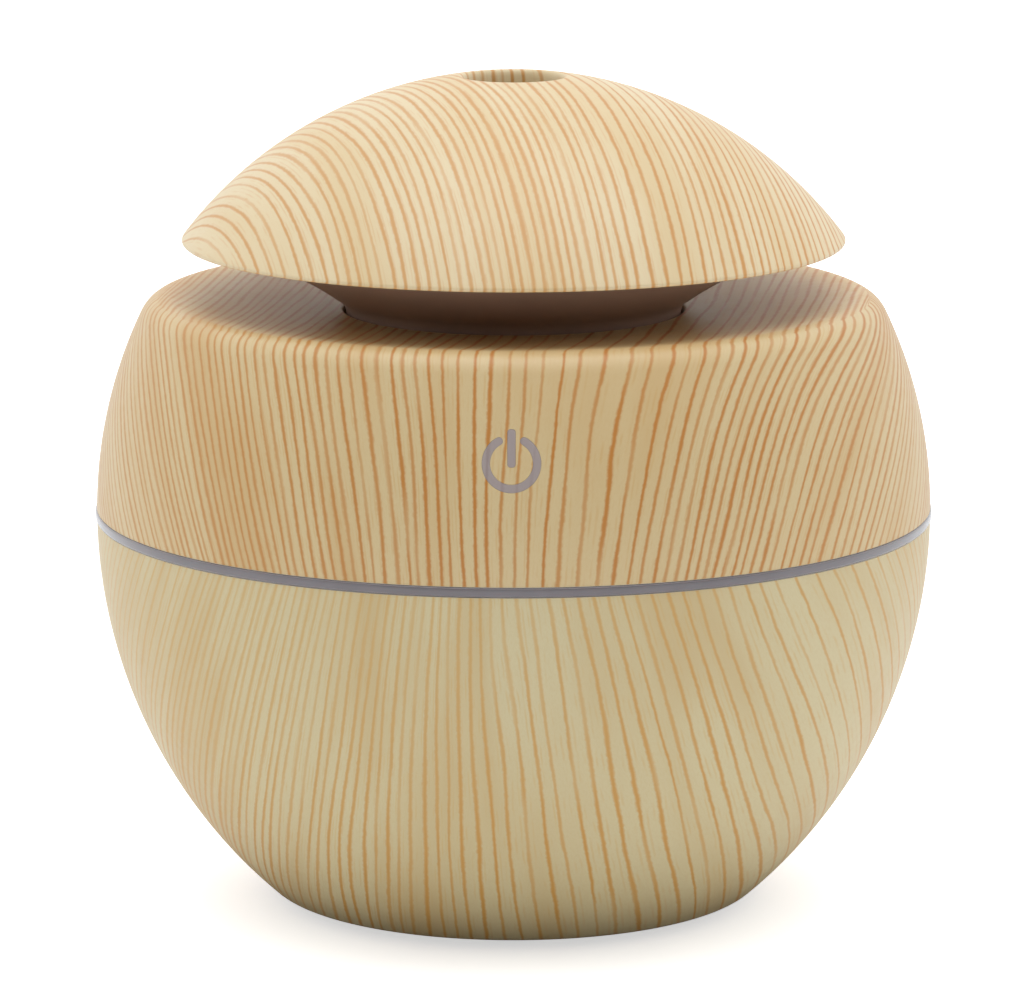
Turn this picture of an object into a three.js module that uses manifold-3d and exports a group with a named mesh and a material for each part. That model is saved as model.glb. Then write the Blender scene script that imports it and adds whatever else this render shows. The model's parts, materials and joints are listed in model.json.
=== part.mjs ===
// An ultrasonic essential oil diffuser with a mushroom-shaped cap, in millimetres.
// +Z is up, the table is z = 0, the touch key faces -Y and the power socket faces +Y.
import * as THREE from "three";
import { mergeVertices } from "three/addons/utils/BufferGeometryUtils.js";
import Module from "manifold-3d";

const wasm = await Module();
wasm.setup();

// ---- Driving dimensions ----
const BASE_Z = 0.8; // the feet hold the body this far off the table
const BODY_R = 50; // largest radius, at the light ring
const SEAM_Z = BASE_Z + 46.2; // middle of the light ring
const RING_HALF = 0.56; // half the height of the ring's visible band
const RING_PROUD = 0.15;
const BOWL_ARC = 61; // profile radius of the lower shell's side
const SHOULDER_ARC = 55; // profile radius of the upper shell's side
const WALL = 2.2; // outer shells
const CREST_R = 41; // highest circle of the body, round the dished top
const CREST_Z = BASE_Z + 72.25;
const CREST_ROUND = 2.2; // height over which the side rounds over to the crest
const HOLE_R = 20.4; // hole that the cap's neck drops into
const HOLE_Z = BASE_Z + 70.6;
const NECK_R = 20;
const SEAL_Z = 63.6; // underside of the silicone seal round the neck
const SEAL_H = 2.2;
const DOME_R = 49.5; // the cap's outer surface is part of a ball of this radius
const DOME_CENTRE_Z = BASE_Z + 49.3;
const RIM_R = 39.67; // lower edge of the cap
const RIM_Z = BASE_Z + 78.62;
const MIST_R = 5.7; // mist hole
const CAP_WALL = 2.2;
const INSERT_R = 36.6; // edge of the cap's underside, inside the dome's rim
const KEY_Z = BASE_Z + 60.65; // centre of the power mark on the upper shell
const KEY_TILT = Math.asin((KEY_Z - SEAM_Z) / SHOULDER_ARC); // slope of the shell there
const TANK_R = 36; // inside of the water tank
const TANK_WALL = 2;
const TANK_FLOOR_Z = 24;
const TANK_RIM_Z = 68.2;
const FLANGE_Z = 42; // underside of the tank's flange, which carries the light board
const FLANGE_T = 2;
const PIEZO_Z = 19.5; // underside of the piezo disc
const PIEZO_T = 0.8;
const LEDGE_R = 20.5; // opening in the lower shell's floor
const BASE_PLATE_R = 26;
const FLOOR_Z = BASE_Z + 2.2; // underside of the floor that the base plate rests against
const FLOOR_T = 2;
const BOARD_Z = 12; // underside of the main board
const BOARD_T = 1.2;
const FAN_SIDE = 25;
const FAN_T = 7;
const FAN_Z = 3.9;
const GAP = 0.15; // between pieces that rest on each other
const ROUND = 32; // sides of the large turned pieces
const SMALL_ROUND = 8; // sides of screws and other small turned pieces

const bowlR = (z, inset = 0) =>
  BODY_R - BOWL_ARC + Math.sqrt((BOWL_ARC - inset) ** 2 - (z - SEAM_Z) ** 2);
const shoulderR = (z, inset = 0) =>
  BODY_R - SHOULDER_ARC + Math.sqrt((SHOULDER_ARC - inset) ** 2 - (z - SEAM_Z) ** 2);
const domeZ = (r, inset = 0) => DOME_CENTRE_Z + Math.sqrt((DOME_R - inset) ** 2 - r ** 2);
const degrees = THREE.MathUtils.degToRad;

// ---- Materials ----
const finish = (color, roughness, metalness = 0, extra = {}) =>
  new THREE.MeshStandardMaterial({ color, roughness, metalness, ...extra });
const WOOD_PRINT = finish(0xe6c48e, 0.42);
const PLAIN_PLASTIC = finish(0xb9a48c, 0.5);
const MILKY = finish(0xb4b2c2, 0.35, 0, { transparent: true, opacity: 0.9 });
const TANK_PLASTIC = finish(0xe9e6df, 0.3);
const WHITE_PLASTIC = finish(0xe4e0d6, 0.45);
const DARK_PLASTIC = finish(0x24262a, 0.4);
const SILICONE = finish(0xdcdad4, 0.6);
const RUBBER = finish(0x3a3a3a, 0.85);
const BRASS = finish(0xc9a24a, 0.35, 1);
const STEEL = finish(0xb4b6ba, 0.3, 1);
const BOARD_GREEN = finish(0x1f6b3d, 0.45);
const LED_YELLOW = finish(0xe9e0a0, 0.35);
const FERRITE = finish(0x3c3a3a, 0.7);
const FOIL = finish(0x9aa1ad, 0.35, 0.8);
const LEAD_RED = finish(0xa8262a, 0.5);

// ---- Geometry helpers ----
// Turns a closed outline of [radius, z] points, anticlockwise, about the Z axis.
function turned(outline, sides = ROUND) {
  const points = outline.map(([r, z]) => new THREE.Vector2(r, z));
  points.push(points[0].clone());
  return new THREE.LatheGeometry(points, sides).rotateX(Math.PI / 2);
}

// Turns an outline that starts and ends on the axis.
function turnedSolid(outline, sides = SMALL_ROUND) {
  const points = outline.map(([r, z]) => new THREE.Vector2(r, z));
  return new THREE.LatheGeometry(points, sides).rotateX(Math.PI / 2);
}

const disc = (r, low, high, sides = SMALL_ROUND) =>
  new THREE.CylinderGeometry(r, r, high - low, sides)
    .rotateX(Math.PI / 2)
    .translate(0, 0, (low + high) / 2);

const ring = (inner, outer, low, high, sides = ROUND) =>
  turned([[inner, low], [outer, low], [outer, high], [inner, high]], sides);

// A box from its lowest to its highest corner.
function block(low, high) {
  const size = high.map((h, i) => h - low[i]);
  const middle = high.map((h, i) => (h + low[i]) / 2);
  return new THREE.BoxGeometry(...size).translate(...middle);
}

// Points at even steps of a function of one value.
const steps = (from, to, count, point) =>
  Array.from({ length: count + 1 }, (_, i) => point(from + ((to - from) * i) / count));

// Points on a smooth curve that leaves start and reaches end along lines to the corner.
const bend = (start, corner, end, count) =>
  steps(0, 1, count, (t) =>
    start.map((s, i) => (1 - t) ** 2 * s + 2 * t * (1 - t) * corner[i] + t * t * end[i]),
  );

const around = (radius, angle) => [
  radius * Math.cos(degrees(angle)),
  radius * Math.sin(degrees(angle)),
];

function plate(shape, low, high, curveSegments = 12) {
  return new THREE.ExtrudeGeometry(shape, {
    depth: high - low,
    bevelEnabled: false,
    curveSegments,
  }).translate(0, 0, low);
}

// A round lead through the given points.
function lead(points, radius) {
  const path = new THREE.CatmullRomCurve3(points.map((p) => new THREE.Vector3(...p)));
  const section = new THREE.Shape().absarc(0, 0, radius, 0, 2 * Math.PI);
  return new THREE.ExtrudeGeometry(section, {
    steps: 2 * (points.length - 1),
    bevelEnabled: false,
    curveSegments: 3,
    extrudePath: path,
  });
}

function solidOf(geometry) {
  const bare = geometry.clone();
  bare.deleteAttribute("normal");
  bare.deleteAttribute("uv");
  const merged = mergeVertices(bare, 1e-4);
  const index = merged.index.array;
  const faces = [];
  for (let i = 0; i < index.length; i += 3) {
    const [a, b, c] = index.slice(i, i + 3);
    if (a !== b && b !== c && a !== c) faces.push(a, b, c);
  }
  return new wasm.Manifold(
    new wasm.Mesh({
      numProp: 3,
      vertProperties: merged.attributes.position.array,
      triVerts: new Uint32Array(faces),
    }),
  );
}

function geometryOf(solid) {
  const { vertProperties, triVerts } = solid.getMesh();
  return new THREE.BufferGeometry()
    .setAttribute("position", new THREE.BufferAttribute(vertProperties, 3))
    .setIndex(new THREE.BufferAttribute(triVerts, 1));
}

// The first geometry joined with some and cut by others.
function carved(start, { add = [], cut = [] }) {
  let solid = solidOf(start);
  for (const piece of add) solid = solid.add(solidOf(piece));
  for (const piece of cut) solid = solid.subtract(solidOf(piece));
  return geometryOf(solid);
}

function piece(name, geometry, material, position = [0, 0, 0]) {
  const mesh = new THREE.Mesh(geometry, material);
  mesh.name = name;
  mesh.position.set(...position);
  return mesh;
}

// Height of a pan head on a screw of that shank radius.
const headHeight = (shank) => shank * 1.2;

// A pan-head screw along Z. The underside of its head is at the given height, and its shank
// points down from there, or up.
function screw(name, shank, length, [x, y, seat], pointsUp = false) {
  const head = shank * 1.9;
  const headT = headHeight(shank);
  const recess = shank * 0.8;
  const outline = [
    [0, -length],
    [shank, -length + shank],
    [shank, 0],
    [head, 0],
    [head * 0.8, headT],
    [recess, headT],
    [0, headT * 0.4],
  ];
  const mesh = piece(name, turnedSolid(outline), STEEL, [x, y, seat]);
  if (pointsUp) mesh.rotation.x = Math.PI;
  return mesh;
}

// ---- Places that several pieces share ----
const BASE_SCREW_R = 23.5;
const BASE_SCREW_ANGLES = [0, 90, 180, 270];
const BOARD_SCREW_R = 28;
const BOARD_SCREW_ANGLES = [32, 148];
const BASE_SCREW = 1.2; // shank radius
const TANK_SCREW = 1.15;
const CLAMP_SCREW = 0.85;
const BOARD_SCREW = 0.75;
const FAN_SCREW = 0.8;
const TANK_SCREW_R = 42;
const TANK_SCREW_ANGLES = [45, 135, 225, 315];
const CLAMP_SCREW_R = 15.2;
const CLAMP_SCREW_ANGLES = [90, 210, 330];
const FAN_SCREW_AT = 10; // fan screws stand this far from the axis in x and in y
const FOOT_R = 4;
const FOOT_PLACE_R = 19.5;
const FOOT_ANGLES = [45, 135, 225, 315];
const LEAD_HOLE_R = 40.5;
const LIGHT_LEAD_ANGLE = 120;
const KEY_LEAD_ANGLE = 262;
const LEAD_HOLE_ANGLES = [LIGHT_LEAD_ANGLE, KEY_LEAD_ANGLE];
// Recess in the lower shell in front of the power socket, and the window at its end.
const SOCKET = {
  width: 12,
  low: 10.4,
  high: 18.4,
  face: 35.2,
  wall: 1.2,
  window: { half: 4.2, low: 12.9, high: 16.5 },
};

const stacked = (radius, angles, make) => angles.map((angle) => make(...around(radius, angle)));
const postsAt = (radius, angles, r, low, high) =>
  stacked(radius, angles, (x, y) => disc(r, low, high).translate(x, y, 0));

// ---- Cap ----
function capDome() {
  const noseR = 0.45;
  const lip = 3.2; // depth of the mist hole's inner wall
  const edgeR = MIST_R + 0.9; // the hole's edge is rounded over from here
  const mistEdge = bend([edgeR, domeZ(edgeR)], [MIST_R, domeZ(MIST_R)], [MIST_R, domeZ(MIST_R) - 2.2], 3);
  const outline = [
    [INSERT_R + GAP, RIM_Z],
    [RIM_R - noseR, RIM_Z],
    [RIM_R, RIM_Z + noseR],
    ...steps(RIM_R - noseR, edgeR, 7, (r) => [r, domeZ(r)]),
    ...mistEdge.slice(1),
    [MIST_R, domeZ(MIST_R) - lip],
    [MIST_R + 2.4, domeZ(MIST_R) - lip],
    ...steps(MIST_R + 2.9, INSERT_R + GAP, 4, (r) => [r, domeZ(r, CAP_WALL)]),
  ];
  return piece("cap_dome", turned(outline), WOOD_PRINT);
}

// Underside of the cap: it flares from the neck to the dome's rim like a trumpet.
const FLARE_R = 38.5; // the flare would be level here
const FLARE_DROP = 7.4; // from there down to the neck
const flareZ = (r, lift = 0) =>
  RIM_Z - 0.12 + lift - FLARE_DROP * ((FLARE_R - r) / (FLARE_R - NECK_R)) ** 1.9;

function capInsert() {
  const skirtZ = 60.4;
  const skirtR = NECK_R - 0.4;
  const grooveR = NECK_R - 1.4;
  const inner = NECK_R - 2.2;
  const lift = 1.7; // wall of the flare
  const outline = [
    [inner, skirtZ],
    [skirtR, skirtZ],
    [skirtR, SEAL_Z - 0.2],
    [grooveR, SEAL_Z - 0.2],
    [grooveR, SEAL_Z + SEAL_H + 0.2],
    [skirtR, SEAL_Z + SEAL_H + 0.2],
    [NECK_R, SEAL_Z + SEAL_H + 1],
    [NECK_R, HOLE_Z],
    ...steps(NECK_R + 1.5, INSERT_R, 5, (r) => [r, flareZ(r)]),
    [INSERT_R - 1.2, RIM_Z + lift - 0.3],
    ...steps(INSERT_R - 5, NECK_R + 2.4, 3, (r) => [r, flareZ(r, lift + 1)]),
    [inner, HOLE_Z + 1],
  ];
  return piece("cap_insert", turned(outline), PLAIN_PLASTIC);
}

function capSeal() {
  const inner = NECK_R - 1.25;
  const outer = HOLE_R - GAP;
  const outline = [
    [inner, SEAL_Z],
    [outer - 0.5, SEAL_Z],
    [outer, SEAL_Z + 0.6],
    [outer, SEAL_Z + SEAL_H - 0.6],
    [outer - 0.5, SEAL_Z + SEAL_H],
    [inner, SEAL_Z + SEAL_H],
  ];
  return piece("cap_seal", turned(outline), SILICONE);
}

// Bell mouth inside the neck that narrows to a chimney under the mist hole.
function mistTube() {
  const wall = 1.2;
  const mouthR = NECK_R - 2.5;
  const mouthZ = 61.6;
  const topZ = domeZ(MIST_R) - 3.4;
  const outline = [
    [mouthR - wall, mouthZ],
    [mouthR, mouthZ],
    [mouthR, mouthZ + 2],
    [MIST_R + 2.2, 75.5],
    [MIST_R + wall, 79],
    [MIST_R + wall, topZ],
    [MIST_R, topZ],
    [MIST_R, 79],
    [MIST_R + 0.9, 75.8],
    [mouthR - wall, mouthZ + 2.4],
  ];
  return piece("mist_tube", turned(outline, 24), TANK_PLASTIC);
}

// ---- Power mark ----
// The mark lies on the shell's slope: local Z is the slope's outward normal, local Y runs up it.
const MARK = { radius: 2.88, stroke: 0.9, gap: 29.5, barTop: 3.85, barFoot: -0.45 };
const KEY_PLATE = { r: 5.2, back: -WALL - 1.2, front: -1.5 }; // disc that the mark stands on
const MARK_LOW = KEY_PLATE.front - 0.3; // the mark's prisms reach into the plate
const MARK_HIGH = 1.5; // and past the shell's surface, which trims them

function onKey(geometry) {
  return geometry
    .rotateX(Math.PI / 2 - KEY_TILT)
    .translate(0, -shoulderR(KEY_Z), KEY_Z);
}

// The ring and the bar of the mark, each a prism through the wall; play makes them wider.
function markPrisms(play, low, high) {
  const half = MARK.stroke / 2 + play;
  const start = degrees(90 + MARK.gap) - play / MARK.radius;
  const end = degrees(90 - MARK.gap + 360) + play / MARK.radius;
  const arc = new THREE.Shape();
  arc.absarc(0, 0, MARK.radius + half, start, end, false);
  arc.absarc(0, 0, MARK.radius - half, end, start, true);
  return [
    plate(arc, low, high, 9),
    block([-half, MARK.barFoot - play, low], [half, MARK.barTop + play, high]),
  ];
}

const markAndPlate = (play) => [
  disc(KEY_PLATE.r + play, KEY_PLATE.back - play, KEY_PLATE.front + play, 16),
  ...markPrisms(play, MARK_LOW, MARK_HIGH),
];

// Light pipe behind the key: its raised ring and bar end flush with the shell's surface.
function keyLightPipe() {
  const skin = solidOf(upperShellOuter());
  const [base, ...prisms] = markAndPlate(0).map((g) => solidOf(onKey(g)));
  const mark = prisms.reduce((sum, prism) => sum.add(prism), base);
  return piece("key_light_pipe", geometryOf(mark.intersect(skin)), MILKY);
}

// ---- Upper shell ----
const topZ = (r, drop = 0) =>
  HOLE_Z - drop + (CREST_Z - HOLE_Z) * ((r - HOLE_R) / (CREST_R - HOLE_R)) ** 1.4;
const SHELL_LOW_Z = SEAM_Z + RING_HALF + 0.1;
const COLLAR_Z = 60.6; // lower end of the collar round the hole

function upperSideAndTop() {
  const roundZ = CREST_Z - CREST_ROUND;
  const side = [shoulderR(roundZ), roundZ];
  const lean = (roundZ - SEAM_Z) / (side[0] - BODY_R + SHOULDER_ARC); // inward per mm upward
  const corner = [side[0] - lean * CREST_ROUND, CREST_Z];
  return [
    ...steps(SHELL_LOW_Z, roundZ - 1.2, 5, (z) => [shoulderR(z), z]),
    ...bend(side, corner, [CREST_R, CREST_Z], 4),
    ...steps(CREST_R, HOLE_R + 1.2, 3, (r) => [r, topZ(r)]).slice(1),
  ];
}

// The upper shell's outside, filled solid to the axis.
function upperShellOuter() {
  return turnedSolid([[0, SHELL_LOW_Z], ...upperSideAndTop(), [0, HOLE_Z]], ROUND);
}

function upperShell() {
  const collarWall = 2;
  const deckT = 2.2;
  const deckEdgeR = 41.4; // the deck's underside ends here, against the side wall
  const outline = [
    [shoulderR(SHELL_LOW_Z, WALL), SHELL_LOW_Z],
    ...upperSideAndTop(),
    [HOLE_R + 0.25, HOLE_Z - 0.1],
    [HOLE_R, HOLE_Z - 0.45],
    [HOLE_R, COLLAR_Z],
    [HOLE_R + collarWall, COLLAR_Z],
    [HOLE_R + collarWall, topZ(HOLE_R + collarWall, deckT)],
    [deckEdgeR, topZ(deckEdgeR, deckT)],
    ...steps(CREST_Z - 4.1, SHELL_LOW_Z + 3, 2, (z) => [shoulderR(z, WALL), z]),
  ];
  const boss = { r: 2.6, low: 49, pilotR: 1.3, pilotTop: 60 };
  const bossTop = topZ(TANK_SCREW_R - boss.r, deckT) + 0.6;
  const bosses = postsAt(TANK_SCREW_R, TANK_SCREW_ANGLES, boss.r, boss.low, bossTop);
  const pilots = postsAt(TANK_SCREW_R, TANK_SCREW_ANGLES, boss.pilotR, boss.low - 1, boss.pilotTop);
  const key = markAndPlate(GAP).map(onKey);
  const geometry = carved(turned(outline), { add: bosses, cut: [...pilots, ...key] });
  return piece("upper_shell", geometry, WOOD_PRINT);
}

// ---- Touch key electronics, behind the light pipe ----
function touchKey() {
  const tilted = new THREE.Group();
  tilted.position.set(0, -shoulderR(KEY_Z), KEY_Z);
  tilted.rotation.x = Math.PI / 2 - KEY_TILT;
  const back = KEY_PLATE.back;
  const board = { z: back - 3.6, t: 1, x: 6.5, y: 6 };
  tilted.add(
    piece(
      "touch_board",
      block([-board.x, -board.y, board.z], [board.x, board.y, board.z + board.t]),
      BOARD_GREEN,
    ),
    piece("touch_led", block([-1, -1, board.z + board.t + GAP], [1, 1, back - 1]), LED_YELLOW),
    piece("touch_spring", touchSpring(board.z + board.t + GAP, back - GAP), STEEL),
  );
  return tilted;
}

// Electrode of the key: a spring whose coils stand on the board round the LED.
function touchSpring(low, high) {
  const wire = 0.25;
  const turns = 3;
  const coilR = 2.6;
  const rise = high - low - 2 * wire;
  const points = steps(0, turns, turns * 8, (turn) => {
    const [x, y] = around(coilR, 360 * turn);
    return new THREE.Vector3(x, y, low + wire + (rise * turn) / turns);
  });
  const section = new THREE.Shape().absarc(0, 0, wire, 0, 2 * Math.PI);
  return new THREE.ExtrudeGeometry(section, {
    steps: turns * 8,
    bevelEnabled: false,
    curveSegments: 2,
    extrudePath: new THREE.CatmullRomCurve3(points),
  });
}

// ---- Tank and ultrasonic stage ----
const TANK_OUT_R = TANK_R + TANK_WALL;
const FLANGE_R = 45;
const TANK_BOTTOM_Z = TANK_FLOOR_Z - TANK_WALL;
// Round well under the tank's floor that holds the piezo disc, below the hole it works through.
const STAGE = { holeR: 7.5, wellR: 10.6, wallR: 13.2, low: 18 };
const DUCT = { x: -29.8, halfX: 2.4, halfY: 5.5, wall: 1, top: 62, window: 5 };
const LEAD_HOLE = 1.3; // radius of the holes that leads pass through

function tank() {
  const outline = [
    [STAGE.holeR, TANK_BOTTOM_Z],
    [STAGE.wellR, TANK_BOTTOM_Z],
    [STAGE.wellR, STAGE.low],
    [STAGE.wallR, STAGE.low],
    [STAGE.wallR, TANK_BOTTOM_Z],
    [TANK_OUT_R - 2, TANK_BOTTOM_Z],
    [TANK_OUT_R, TANK_FLOOR_Z],
    [TANK_OUT_R, FLANGE_Z],
    [FLANGE_R, FLANGE_Z],
    [FLANGE_R, FLANGE_Z + FLANGE_T],
    [TANK_OUT_R, FLANGE_Z + FLANGE_T],
    [TANK_OUT_R, TANK_RIM_Z],
    [TANK_R, TANK_RIM_Z],
    [TANK_R, TANK_FLOOR_Z + 3],
    [TANK_R - 3, TANK_FLOOR_Z],
    [STAGE.holeR + 1.5, TANK_FLOOR_Z],
    [STAGE.holeR, TANK_FLOOR_Z - 0.6],
  ];
  const floorZ = TANK_FLOOR_Z - 1; // posts and pilots end inside the floor
  const postLow = BOARD_Z + BOARD_T + GAP;
  const flange = [FLANGE_Z - 1, FLANGE_Z + FLANGE_T + 1];
  return piece(
    "tank",
    carved(turned(outline), {
      add: [
        ...postsAt(BASE_SCREW_R, BASE_SCREW_ANGLES, 3, postLow, floorZ),
        ...postsAt(CLAMP_SCREW_R, CLAMP_SCREW_ANGLES, 2.2, STAGE.low, floorZ),
      ],
      cut: [
        ...postsAt(BASE_SCREW_R, BASE_SCREW_ANGLES, 1.3, postLow - 1, floorZ - 1),
        ...postsAt(CLAMP_SCREW_R, CLAMP_SCREW_ANGLES, 1, STAGE.low - 1, floorZ - 0.5),
        ...postsAt(TANK_SCREW_R, TANK_SCREW_ANGLES, 1.4, ...flange),
        ...postsAt(LEAD_HOLE_R, LEAD_HOLE_ANGLES, LEAD_HOLE, ...flange),
        ductInside(TANK_BOTTOM_Z - 1, TANK_FLOOR_Z + 1),
      ],
    }),
    TANK_PLASTIC,
  );
}

function ductInside(low, high) {
  const { x, halfX, halfY, wall } = DUCT;
  return block([x - halfX + wall, -halfY + wall, low], [x + halfX - wall, halfY - wall, high]);
}

// Air from the fan rises through this channel and leaves above the water line.
function airDuct() {
  const { x, halfX, halfY, top, window: windowH } = DUCT;
  const low = TANK_FLOOR_Z + GAP;
  const outside = block([x - halfX, -halfY, low], [x + halfX, halfY, top]);
  const inside = ductInside(low - 1, top + 1);
  const window = block([x, -halfY + 1.4, top - windowH], [x + halfX + 1, halfY - 1.4, top + 1]);
  return piece("air_duct", carved(outside, { cut: [inside, window] }), TANK_PLASTIC);
}

function tankGasket() {
  const low = TANK_RIM_Z + GAP;
  const outline = [
    [TANK_R + 0.1, low],
    [TANK_OUT_R - 0.1, low],
    [TANK_OUT_R - 0.1, low + 0.9],
    [TANK_R + 1, low + 1.3],
    [TANK_R + 0.1, low + 0.9],
  ];
  return piece("tank_gasket", turned(outline), SILICONE);
}

// The disc is pressed up against its seal by a plate with a raised rim.
function ultrasonicStage() {
  const plateT = 1.6;
  const high = STAGE.low - GAP; // top of the clamp's plate
  const low = high - plateT;
  const rim = { inner: 7.5, outer: 9.8, top: PIEZO_Z - GAP };
  const reach = 17.6;
  const hole = 5;
  const clamp = turned([
    [hole, low],
    [reach, low],
    [reach, high],
    [rim.outer, high],
    [rim.outer, rim.top],
    [rim.inner, rim.top],
    [rim.inner, high],
    [hole, high],
  ]);
  const holes = postsAt(CLAMP_SCREW_R, CLAMP_SCREW_ANGLES, 1.2, low - 1, STAGE.low + 1);
  const sealLow = PIEZO_Z + PIEZO_T + GAP;
  return [
    piece("piezo_disc", disc(10, PIEZO_Z, PIEZO_Z + PIEZO_T, 24), BRASS),
    piece("piezo_seal", ring(7.8, 10.3, sealLow, TANK_BOTTOM_Z - GAP, 24), SILICONE),
    piece("piezo_clamp", carved(clamp, { cut: holes }), WHITE_PLASTIC),
    ...CLAMP_SCREW_ANGLES.map((angle, i) =>
      screw(`clamp_screw_${i + 1}`, CLAMP_SCREW, 5, [...around(CLAMP_SCREW_R, angle), low - GAP], true),
    ),
  ];
}

// ---- Light ring and its board ----
function lightRing() {
  const flange = { inner: 46.3, outer: 47.4, reach: 2.6 }; // hidden behind both shells
  const edgeR = BODY_R + RING_PROUD;
  const round = 0.2;
  const outline = [
    [flange.inner, SEAM_Z - flange.reach],
    [flange.outer, SEAM_Z - flange.reach],
    [flange.outer, SEAM_Z - RING_HALF],
    [edgeR - round, SEAM_Z - RING_HALF],
    [edgeR, SEAM_Z - RING_HALF + round],
    [edgeR, SEAM_Z + RING_HALF - round],
    [edgeR - round, SEAM_Z + RING_HALF],
    [flange.outer, SEAM_Z + RING_HALF],
    [flange.outer, SEAM_Z + flange.reach],
    [flange.inner, SEAM_Z + flange.reach],
  ];
  return piece("light_ring", turned(outline), MILKY);
}

const LIGHT_BOARD_Z = FLANGE_Z + FLANGE_T + GAP;
const LIGHT_BOARD_T = 1;
const LED_COUNT = 6;
const LED_R = 43.6; // distance of the light's LEDs from the axis

function lightBoard() {
  const low = LIGHT_BOARD_Z;
  const cutLow = low - 1;
  const cutHigh = low + LIGHT_BOARD_T + 1;
  const geometry = carved(ring(TANK_OUT_R + 0.4, FLANGE_R, low, low + LIGHT_BOARD_T), {
    cut: [
      ...postsAt(TANK_SCREW_R, TANK_SCREW_ANGLES, 1.6, cutLow, cutHigh),
      ...postsAt(LEAD_HOLE_R, LEAD_HOLE_ANGLES, LEAD_HOLE, cutLow, cutHigh),
    ],
  });
  return piece("light_board", geometry, BOARD_GREEN);
}

function lightLeds() {
  const low = LIGHT_BOARD_Z + LIGHT_BOARD_T + GAP;
  return steps(0, LED_COUNT - 1, LED_COUNT - 1, (i) => {
    const angle = (360 / LED_COUNT) * i;
    const led = piece(
      `light_led_${i + 1}`,
      block([-1, -1.75, 0], [1, 1.75, 1.4]),
      LED_YELLOW,
      [...around(LED_R, angle), low],
    );
    led.rotation.z = degrees(angle);
    return led;
  });
}

// ---- Lower shell ----
function lowerShell() {
  const { width, low, high, face, wall, window } = SOCKET;
  const top = SEAM_Z - RING_HALF - 0.1;
  const cornerR = bowlR(BASE_Z);
  const outline = [
    [BASE_PLATE_R + 0.2, BASE_Z],
    [cornerR - 0.9, BASE_Z],
    [cornerR - 0.25, BASE_Z + 0.12],
    ...steps(0.6, 1, 1, (rise) => [bowlR(BASE_Z + rise), BASE_Z + rise]),
    ...steps(BASE_Z + 5, top, 6, (z) => [bowlR(z), z]),
    ...steps(top, FLOOR_Z + FLOOR_T, 5, (z) => [bowlR(z, WALL), z]),
    [LEDGE_R, FLOOR_Z + FLOOR_T],
    [LEDGE_R, FLOOR_Z],
    [BASE_PLATE_R + 0.2, FLOOR_Z],
  ];
  const half = width / 2;
  const past = BODY_R;
  // A short tunnel leads in from the shell's surface to the power socket.
  const tunnel = solidOf(
    block([-half - wall, face - wall, low - wall], [half + wall, past, high + wall]),
  ).intersect(solidOf(turnedSolid(bowlFilled(top), ROUND)));
  const bosses = [
    ...postsAt(BASE_SCREW_R, BASE_SCREW_ANGLES.slice(0, 3), 2.7, FLOOR_Z + 1, BOARD_Z - GAP),
    ...postsAt(BASE_SCREW_R, BASE_SCREW_ANGLES.slice(3), 2.7, FLOOR_Z + 1, BOARD_Z + BOARD_T),
    ...postsAt(BOARD_SCREW_R, BOARD_SCREW_ANGLES, 2.3, FLOOR_Z + 1, BOARD_Z - GAP),
  ];
  const cuts = [
    block([-half, face, low], [half, past, high]),
    block([-window.half, face - 2, window.low], [window.half, face + 1, window.high]),
    ...postsAt(BASE_SCREW_R, BASE_SCREW_ANGLES, 1.5, FLOOR_Z - 1, BOARD_Z + 3),
    ...postsAt(BOARD_SCREW_R, BOARD_SCREW_ANGLES, 0.9, FLOOR_Z + FLOOR_T, BOARD_Z + 1),
  ];
  let solid = solidOf(turned(outline)).add(tunnel);
  for (const boss of bosses) solid = solid.add(solidOf(boss));
  for (const cut of cuts) solid = solid.subtract(solidOf(cut));
  return piece("lower_shell", geometryOf(solid), WOOD_PRINT);
}

// The bowl's outline as a filled shape, a little inside its outer surface.
const bowlFilled = (top) => [
  [0, BASE_Z + 1],
  ...steps(BASE_Z + 1, top, 6, (z) => [bowlR(z, 0.8), z]),
  [0, top],
];

// ---- Main board ----
// A horseshoe that leaves the fan free.
const BOARD = { inner: 19, outer: 33.6, from: -25, to: 205 };

function mainBoard() {
  const shape = new THREE.Shape();
  const from = degrees(BOARD.from);
  const to = degrees(BOARD.to);
  shape.absarc(0, 0, BOARD.outer, from, to, false);
  shape.absarc(0, 0, BOARD.inner, to, from, true);
  const top = BOARD_Z + BOARD_T;
  const geometry = carved(plate(shape, BOARD_Z, top, 16), {
    cut: [
      ...postsAt(BASE_SCREW_R, BASE_SCREW_ANGLES.slice(0, 3), 1.6, BOARD_Z - 1, top + 1),
      ...postsAt(BOARD_SCREW_R, BOARD_SCREW_ANGLES, 1.1, BOARD_Z - 1, top + 1),
    ],
  });
  return piece("main_board", geometry, BOARD_GREEN);
}

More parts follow.
